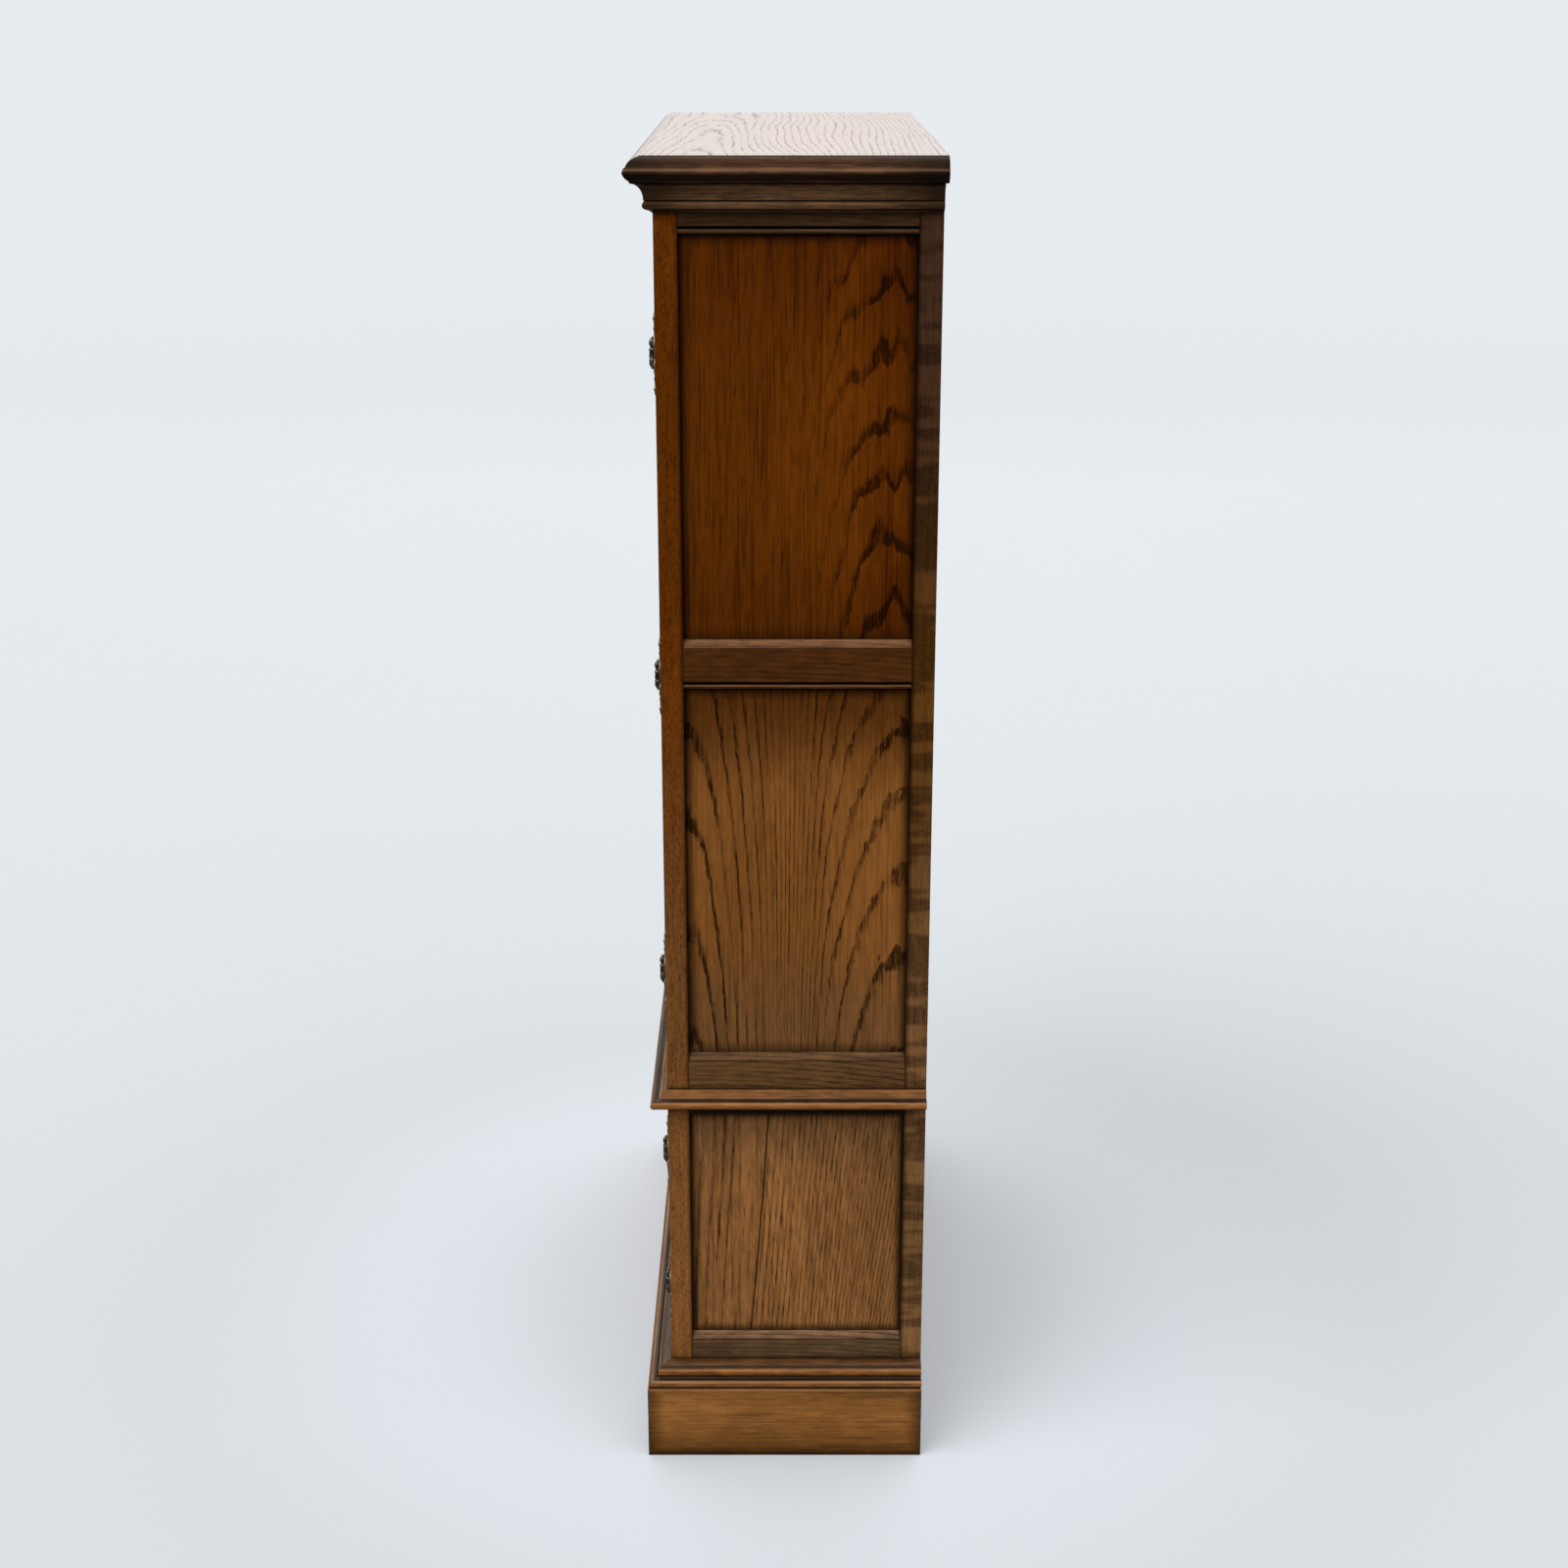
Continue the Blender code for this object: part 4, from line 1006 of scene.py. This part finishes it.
def plinth():
    """Four mitred boards with four bearers inside."""
    low, high = PLINTH_LOW, PLINTH_HIGH
    look = dict(
        across="z", jag=0.0015, wander=0.012, rings=0.18, pores=0.8, streaks=0.45, cloud=0.24, mottle=0.18,
        edge_width=0.030, edge_shade=0.62, tints=[(0.05, 0.0, (0.78, 0.73, 0.64))],
        # painted shade and stain under the moulding; a painted highlight on the arris
        stains=[(high.z - 0.0018, 0.0030, 0.55)], rubs=[(PLINTH_ARRIS - 0.0008, 0.0013, 0.5)], **PLINTH_LOOK,
    )
    lengthways = dict(along="x", cones=[(-0.25, 0.1, 0.03, 0.02, 0.0)], spacing=0.006)
    sideways = dict(along="y", cones=[(-0.22, 0.02, 0.02, 0.03, 0.0)], spacing=0.0052)
    corners = {"front": ((-1, -1), (1, -1)), "back": ((-1, 1), (1, 1))}
    corners.update(right=((1, -1), (1, 1)), left=((-1, -1), (-1, 1)))
    seeds = {"front": 50, "back": 51, "right": 54, "left": 52}
    levels = [(low.z, 0), (PLINTH_ARRIS - 0.0008, 0), (PLINTH_ARRIS, 0.0008)]
    levels += [(PLINTH_ARRIS + 0.0002, PLINTH_STEP), (high.z, PLINTH_STEP)]

    def spot(corner, inset):
        """The plinth's corner on the side that two signs give, moved in."""
        return [(low, high)[sign > 0][axis] - sign * inset for axis, sign in enumerate(corner)]

    for word, ends in corners.items():
        long = word in ("front", "back")
        limits = (low.x, high.x) if long else (low.y, high.y)
        grain = {**(lengthways if long else sideways), "edges": (low.z - 0.002, high.z + 0.01, *limits)}
        wood = oak(f"oak_plinth_{word}", seed=seeds[word], **grain, **look)
        inner = [spot(corner, PLINTH_THICKNESS) for corner in reversed(ends)]
        stations = []
        for z, inset in levels:
            stations.append([(x, y, z) for x, y in [spot(corner, inset) for corner in ends] + inner])
        piece(f"plinth_{word}", loft(stations), wood, "oak_plinth", nodes=["plinth_frame"], bevel=0.0005)

    x, rear = spot((1, 1), PLINTH_THICKNESS)
    front = low.y + PLINTH_THICKNESS
    wood = oak("oak_bearers", across="z", along="x", seed=60.0, rough=0.6, **INSIDE_LOOK)
    bearers = {"1": ((-x, front), (x, front + BEARER_WIDTH)), "2": ((-x, rear - BEARER_WIDTH), (x, rear))}
    for side, word in SIDES.items():
        bearers[word] = ((side * x, front + BEARER_WIDTH), (side * (x - BEARER_WIDTH), rear - BEARER_WIDTH))
    for word, (corner, opposite) in bearers.items():
        bm = cuboid((*corner, high.z - BEARER_HEIGHT), (*opposite, high.z))
        piece(f"plinth_bearer_{word}", bm, wood, "oak_plinth", nodes=["plinth_frame"], bevel=0.0006)


# Doors ----
BOLT_LENGTH = 0.075
DOOR_STILE = 0.045
DOOR_RAILS = {"bottom": 0.058, "top": 0.048}
DOOR_GRAIN = dict(rings=0.6, spacing=0.0048, wander=0.012, flecks=0.35)
GLASS_LAP = 0.008
GLASS_SHOULDER = 0.010  # from the door's face to the rebate that holds the glass
RAIL_SET_BACK = 0.0002


def ring_moulding(rect, section):
    """A mitred frame inside a rectangle (x low, x high, z low, z high). The section is (inwards, y)."""
    x_low, x_high, z_low, z_high = rect
    corners = [(x_low, z_low, 1, 1), (x_high, z_low, -1, 1), (x_high, z_high, -1, -1), (x_low, z_high, 1, -1)]
    bm = bmesh.new()
    rings = []
    for x, z, to_x, to_z in corners:
        rings.append([bm.verts.new((x + to_x * inward, y, z + to_z * inward)) for inward, y in section])
    for index in range(4):
        before, after = rings[index - 1], rings[index]
        for point in range(len(section)):
            near = point - 1
            bm.faces.new((before[near], before[point], after[point], after[near]))
    return bm


def door_boards(stage, side, rect, tints, seed):
    """Two stiles through and two rails between them, rebated or grooved for what they hold."""
    word = SIDES[side]
    body, node = f"{stage}_door_{word}", f"{stage}_door_frame_{word}"
    low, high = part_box(node)
    left, right, sill, head = rect
    if stage == "upper":
        corner = Vector((left - GLASS_LAP, low.y + GLASS_SHOULDER, sill - GLASS_LAP))
        cuts = [(corner, Vector((right + GLASS_LAP, high.y + 0.01, head + GLASS_LAP)))]
    else:
        cuts = [grown(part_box(f"lower_door_panel_{word}"), GAP)]
    front, back = low.y + RAIL_SET_BACK, high.y - RAIL_SET_BACK
    start, end = left + JOINT_LINE, right - JOINT_LINE
    boards = {
        "left_stile": (low, (left, high.y, high.z)),
        "right_stile": ((right, low.y, low.z), high),
        "bottom_rail": ((start, front, low.z), (end, back, sill)),
        "top_rail": ((start, front, head), (end, back, high.z)),
    }
    for index, (name, corners) in enumerate(boards.items()):
        upright = name.endswith("stile")
        axes = ("z", "x") if upright else ("x", "z")
        wood = post_oak(f"oak_{body}_{name}", *axes, seed + index, tints=tints, **DOOR_GRAIN)
        eased = dict(bevel=0.0008, segments=3) if upright else dict(bevel=0.0006)
        piece(f"{body}_{name}", cuboid(*corners), wood, "oak_frame", body, [node], cuts=cuts, **eased)


def door(stage, side):
    """A door's boards and mouldings, its glass and lead or its panel, its knob and catches."""
    word = SIDES[side]
    body, node = f"{stage}_door_{word}", f"{stage}_door_frame_{word}"
    low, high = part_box(node)
    rect = left, right, sill, head = (
        low.x + DOOR_STILE, high.x - DOOR_STILE, low.z + DOOR_RAILS["bottom"], high.z - DOOR_RAILS["top"]
    )
    tints = [(0.10, 0.14, (0.84, 0.84, 0.86))] + ([PAINTED_SHADE_UP] if stage == "upper" else [])
    seed = (70 if stage == "upper" else 80) + 4 * side
    door_boards(stage, side, rect, tints, seed)
    wood = post_oak(f"oak_{body}_moulding", "z", "x", seed + 3.5, tints=tints)

    def moulding(name, inside, section):
        piece(f"{body}_{name}", ring_moulding(inside, section), wood, "oak_frame", body, [node])

    if stage == "upper":
        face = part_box(f"upper_door_lead_{word}")[0].y - 0.0002
        section = mm((0, 1.2), (1.2, 1.4), (1.8, 2.4), (3.4, 3.4), (4.6, 5.0), (5.0, 6.8), base=low.y)
        moulding("sight_moulding", rect, section + mm((5.0, 0), (0, 0), base=face))
        lap = GLASS_LAP - GAP
        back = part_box(f"upper_door_glass_{word}")[1].y + 0.0001
        section = mm((0, 0), (9.0, 0), (9.2, 1.6), (8.0, 3.6), (5.0, 5.2), (0, 5.6), base=back)
        moulding("glazing_bead", (left - lap, right + lap, sill - lap, head + lap), section)
        paint(f"upper_door_glass_{word}", GLASS)
        paint(f"upper_door_lead_{word}", LEAD)
    else:
        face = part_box(f"lower_door_panel_{word}")[0].y - 0.0001
        section = mm((0, 1.0), (2.0, 1.4), (3.0, 2.6), (5.2, 3.4), (7.8, 5.2), base=low.y)
        moulding("panel_moulding", rect, section + mm((9.0, -0.6), (9.2, 0), (0, 0), base=face))
        look = dict(LOWER_PANEL, spacing=0.0075, wander=0.012, jag=0.003, rings=0.85, mottle=0.15, edges=rect)
        look.update(cones=[((left + right) / 2, sill, 0.02, 0.09, 0.0)], edge_width=0.02, seed=seed + 6.0)
        look["tints"] = [(0.10, 0.14, (0.76, 0.74, 0.72))]
        paint(f"lower_door_panel_{word}", oak(f"oak_lower_door_panel_{word}", across="x", along="z", **look))
    knob(stage, side, body)
    catches(stage, side, body)


def catches(stage, side, body):
    """The left door has a slim bolt up and one down; the right one has a ball catch in its top edge."""
    low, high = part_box(f"{stage}_door_frame_{SIDES[side]}")
    if side > 0:
        x, y = low.x + DOOR_STILE / 2, (low.y + high.y) / 2
        plate = cuboid((x - 0.013, y - 0.005, high.z - 0.0002), (x + 0.013, y + 0.005, high.z + 0.0004))
        ball = turned(mm((0, 1.1), (1.6, 0.9), (2.8, 0.3), (3.0, 0), (0, 0)), 24)
        ball.transform(Matrix.Translation((x, y, high.z + 0.0004)))
        piece(f"{body}_ball_catch", merged([plate, ball]), BRONZE, "knob_bronze", body, smooth=50)
        return
    x = high.x - DOOR_STILE / 2
    for word, end, way in (("top", high.z - 0.004, -1), ("bottom", low.z + 0.004, 1)):
        start, stop = sorted((end, end + way * BOLT_LENGTH))
        plate = cuboid((x - 0.008, high.y + 0.0001, start), (x + 0.008, high.y + 0.0013, stop))
        bmesh.ops.bevel(plate, geom=plate.edges[:], offset=0.0004, segments=2, affect="EDGES")
        rod = upright_pin(x, high.y + 0.0034, start + 0.004, stop - 0.004, 0.0021)
        profile = mm((0, 9.6), (2.4, 9.2), (3.4, 8.0), (2.6, 6.4), (1.6, 5.0), (1.6, 3.6), (0, 3.6))
        grip = turned_on_wall(profile, 20, (x, high.y, (start + stop) / 2), way=1)
        piece(f"{body}_{word}_bolt", merged([plate, rod, grip]), BRONZE, "knob_bronze", body, smooth=50)


def knob(stage, side, body):
    """A turned knob on a rose, out of the door along -Y."""
    node = f"{stage}_door_knob_{SIDES[side]}"
    low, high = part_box(node)
    crown = mm((0, 26.5), (2.8, 26.3), (5.0, 25.7)) + arc((0, 0.0185), (0.0120, 0.0080), 62, -8, 12)
    neck = mm((11.2, 15.8), (9.5, 14.2), (7.2, 12.8), (5.8, 10.8), (5.4, 8.4), (6.0, 6.0))
    rose = mm((7.4, 5.2), (8.0, 4.4), (9.6, 4.0), (11.2, 3.6), (12.8, 2.8), (13.8, 1.4), (14.0, 0.3))
    place = Vector(((low.x + high.x) / 2, high.y, (low.z + high.z) / 2))
    bm = turned_on_wall(crown + neck + rose + mm((13.8, 0), (0, 0)), 56, place)
    piece(f"{stage}_door_{SIDES[side]}_knob", bm, BRONZE, "knob_bronze", body, [node], smooth=50)


# Hinges ----
HINGE_HEIGHTS = {"upper": (0.736, 1.158, 1.583), "lower": (0.2465, 0.459)}
BARREL = 0.0124
BARREL_RADIUS = 0.0045
CLEARANCE = 0.0004
LEAF_TO_BARREL = 0.0054
HINGE_X = POST_INNER - 0.00075
HINGE_Y = CASE_FRONT - BARREL_RADIUS - 0.0004
SCREWS = mm((10.2, 44.8), (19.6, 13.0))
BOSSES = {(0.0078, 0.0318): (0.0022, 0.0014), (0.0150, 0.0215): (0.0020, 0.0012)}  # place: radius, height


def leaf_outline(owns_middle_barrel):
    """Half of a leaf's outline from the barrel outwards, and its mirror image below."""
    half = BARREL / 2
    knuckle = 1.5 * BARREL + CLEARANCE
    if owns_middle_barrel:
        edge = [(0.0010, half), (LEAF_TO_BARREL, half), (LEAF_TO_BARREL, knuckle + 0.001)]
    else:
        edge = [(LEAF_TO_BARREL, half + CLEARANCE), (0.0010, half + CLEARANCE), (0.0010, knuckle)]
    neck = mm((6.2, 21.5), (5.4, 25.0), (4.6, 29.0), (3.4, 32.8), (2.6, 37.0), (2.4, 40.5))
    head = arc((0.0102, 0.0448), 0.0077, 170, -75, 18)
    throat = mm((10.6, 35.4), (10.4, 33.0), (11.2, 30.0), (13.0, 27.5), (15.8, 26.2))
    lobe = arc((0.0196, 0.0130), (0.0088, 0.0115), 80, -25, 12)
    upper = edge + neck + head + throat + lobe + mm((25.8, 5.5), (25.0, 3.0))
    return upper + [(x, -y) for x, y in reversed(upper)]


def leaf_plate(out, owns_middle_barrel):
    """A leaf's plate, domed towards its middle with an engraved line. It faces -Y from y = 0."""
    bm = bmesh.new()
    face = bm.faces.new([bm.verts.new((out * x, 0, z)) for x, z in leaf_outline(owns_middle_barrel)])
    top = bmesh.ops.extrude_face_region(bm, geom=[face])["geom"]
    top_face = next(item for item in top if isinstance(item, bmesh.types.BMFace))
    bmesh.ops.translate(bm, vec=(0, -0.0010, 0), verts=top_face.verts)
    for inset, rise in mm((0.45, 0.5), (0.6, 0.4), (0.6, 0.1), (0.4, -0.4), (0.4, 0.5)):
        bmesh.ops.inset_region(bm, faces=[top_face], thickness=inset, use_even_offset=True)
        bmesh.ops.translate(bm, vec=(0, -rise, 0), verts=top_face.verts)
    return bm


def screw_head(place):
    profile = mm((0, 1.2), (1.0, 1.12), (1.9, 0.85), (2.5, 0.4), (2.6, 0), (0, 0))
    return turned_on_wall(profile, 20, place)


def boss(place, radius, height):
    dome = [(radius * math.sin(a), height * math.cos(a)) for a in (0.4, 0.8, 1.2, math.pi / 2)]
    return turned_on_wall([(0, height)] + dome + [(0, 0)], 20, place)


def hinge_parts(side, kind):
    """The bmeshes of one leaf, about the pin's axis at half height."""
    out = -side if kind == "door" else side
    plate_y = CASE_FRONT - GAP - HINGE_Y
    plate = leaf_plate(out, kind == "door")
    bmesh.ops.translate(plate, vec=(0, plate_y, 0), verts=plate.verts)
    parts = [plate]
    face = plate_y - 0.0021
    for up in (-1, 1):
        parts += [screw_head((out * x, face, up * z)) for x, z in SCREWS]
        parts += [boss((out * x, face + 0.0004, up * z), *size) for (x, z), size in BOSSES.items()]
    r = BARREL_RADIUS
    half = BARREL / 2
    if kind == "door":
        profile = [(0, -half), (r * 0.86, -half), (r * 0.97, -half + 0.0008), (r, -half + 0.0020)]
        profile += [(r * 0.93, -0.0022), (r * 0.89, 0), (r * 0.93, 0.0022)]
        profile += [(r, half - 0.0020), (r * 0.97, half - 0.0008), (r * 0.86, half), (0, half)]
        parts.append(turned(profile, 28))
    else:
        pitch = BARREL + CLEARANCE
        turns = [math.radians(angle) for angle in range(37, 170, 12)]
        ball = [(r * math.sin(turn), -half * math.cos(turn)) for turn in turns]
        profile = [(0, -half), (r * 0.62, -half), (r * 0.80, -half + 0.0012)] + ball + [(0, half)]
        top_barrel = turned([(radius, pitch + z) for radius, z in profile], 28)
        profile = [(0, half), (r * 0.86, half), (r, half - 0.0016), (r * 0.95, 0.0010), (r * 0.99, -0.0020)]
        profile += [(r * 0.80, -0.0036), (r * 0.62, -0.0048), (r * 0.5, -half), (0, -half)]
        low_barrel = turned([(radius, z - pitch) for radius, z in profile], 28)
        reach = pitch + half
        tip = mm((0, -0.6), (1.4, -0.4), (1.9, 0.6), (1.4, 1.6), (0, 1.9), base=reach)
        parts += [top_barrel, low_barrel, turned(tip, 20), turned([(radius, -z) for radius, z in tip], 20)]
    return parts


def hinge(stage, side, number, height):
    """A hinge's two leaves: the post's rides on the carcass, the door's on its door."""
    word = SIDES[side]
    for kind in ("post", "door"):
        bm = merged(hinge_parts(side, kind))
        bm.transform(Matrix.Translation((side * HINGE_X, HINGE_Y, height)))
        body = "carcass" if kind == "post" else f"{stage}_door_{word}"
        name = f"{stage}_hinge_{word}_{number}_{kind}"
        obj = linked(name, finished(name, bm))
        obj.data.materials.append(IRON)
        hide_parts(f"{name}_leaf")
        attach(obj, body)


def finished(name, bm):
    bmesh.ops.recalc_face_normals(bm, faces=bm.faces)
    mesh = bpy.data.meshes.new(name)
    bm.to_mesh(mesh)
    bm.free()
    mesh.shade_smooth()
    mesh.set_sharp_from_angle(angle=math.radians(45))
    return mesh


# Stage ----
def lamp(name, kind, power, colour, towards, place=(0, 0, 0)):
    """A light whose direction is given from what it lights towards it."""
    data = bpy.data.lights.new(name, kind)
    data.energy = power
    data.color = colour
    obj = linked(name, data)
    obj.location = place
    obj.rotation_mode = "QUATERNION"
    obj.rotation_quaternion = Vector(towards).to_track_quat("Z", "Y")
    return data


def stage():
    """The floor, the studio's light and the camera."""
    bm = bmesh.new()
    bmesh.ops.create_circle(bm, cap_ends=True, segments=96, radius=FLOOR_RADIUS)
    floor = linked("floor", finished("floor", bm))
    floor.data.materials.append(pale_floor("pale_floor"))
    floor.visible_glossy = False
    floor.visible_diffuse = False

    scene = bpy.context.scene
    scene.world = bpy.data.worlds.new("studio")
    scene.world.use_nodes = True
    tree = scene.world.node_tree
    graph = Graph(tree)
    way = graph.node("SeparateXYZ", {0: graph.node("TexCoord").outputs["Generated"]})
    up = Num(graph, way.outputs[2])
    wall = Num(graph, way.outputs[0]).ramp(-0.35, -0.80) * up.ramp(0.35, 0.70, 1.0, 0.0)
    light = graph.mix(graph.mix(SKY_LOW, SKY_HIGH, up.ramp(0.1, 0.8)), BACKDROP, wall)
    floor_light = graph.mix(BELOW_FAR, BELOW_NEAR, up.ramp(-0.15, -0.65))
    light = graph.mix(floor_light, light, up.ramp(-0.02, 0.0))
    seen = graph.node("LightPath").outputs["Is Camera Ray"]
    tree.links.new(graph.mix(light, SKY, seen), tree.nodes["Background"].inputs["Color"])
    scene.view_settings.view_transform = "Standard"

    sun = lamp("soft_sun", "SUN", SUN_STRENGTH, (1.0, 0.98, 0.95), SUN_DIRECTION)
    sun.angle = math.radians(SUN_ANGLE)
    towards = Vector(SOFTBOX_PLACE) - Vector((0, 0, 1.2))
    softbox = lamp("far_softbox", "AREA", SOFTBOX_POWER, (1.0, 0.88, 0.80), towards, SOFTBOX_PLACE)
    softbox.shape = "RECTANGLE"
    softbox.size, softbox.size_y = SOFTBOX_SIZE

    data = bpy.data.cameras.new("camera")
    data.lens = CAMERA_LENS
    data.sensor_width = 36.0
    data.clip_end = 1000.0
    camera = linked("camera", data)
    camera.location = CAMERA_PLACE
    camera.rotation_euler = (math.radians(90 - CAMERA_PITCH), 0, math.radians(90))
    scene.camera = camera


IRON = cast_metal("hinge_iron_aged", (0.055, 0.052, 0.045), (0.32, 0.28, 0.22), (0.012, 0.011, 0.010))
BRONZE = cast_metal(
    "knob_bronze_aged", (0.085, 0.066, 0.045), (0.45, 0.33, 0.20), (0.015, 0.012, 0.009), 0.36
)
LEAD = cast_metal("lead_aged", (0.13, 0.13, 0.14), (0.30, 0.30, 0.31), (0.05, 0.05, 0.055), 0.5)
GLASS = glass("clear_glass")

stage()
cornice()
base_moulding()
top_board()
waist_board()
inside_boards()
shelf_pegs()
back_pins()
plinth()
for side in SIDES:
    side_panels(side)
    for stage_name in ("upper", "lower"):
        side_frame(stage_name, side)
        door(stage_name, side)
        for number, height in enumerate(HINGE_HEIGHTS[stage_name], 1):
            hinge(stage_name, side, number, height)
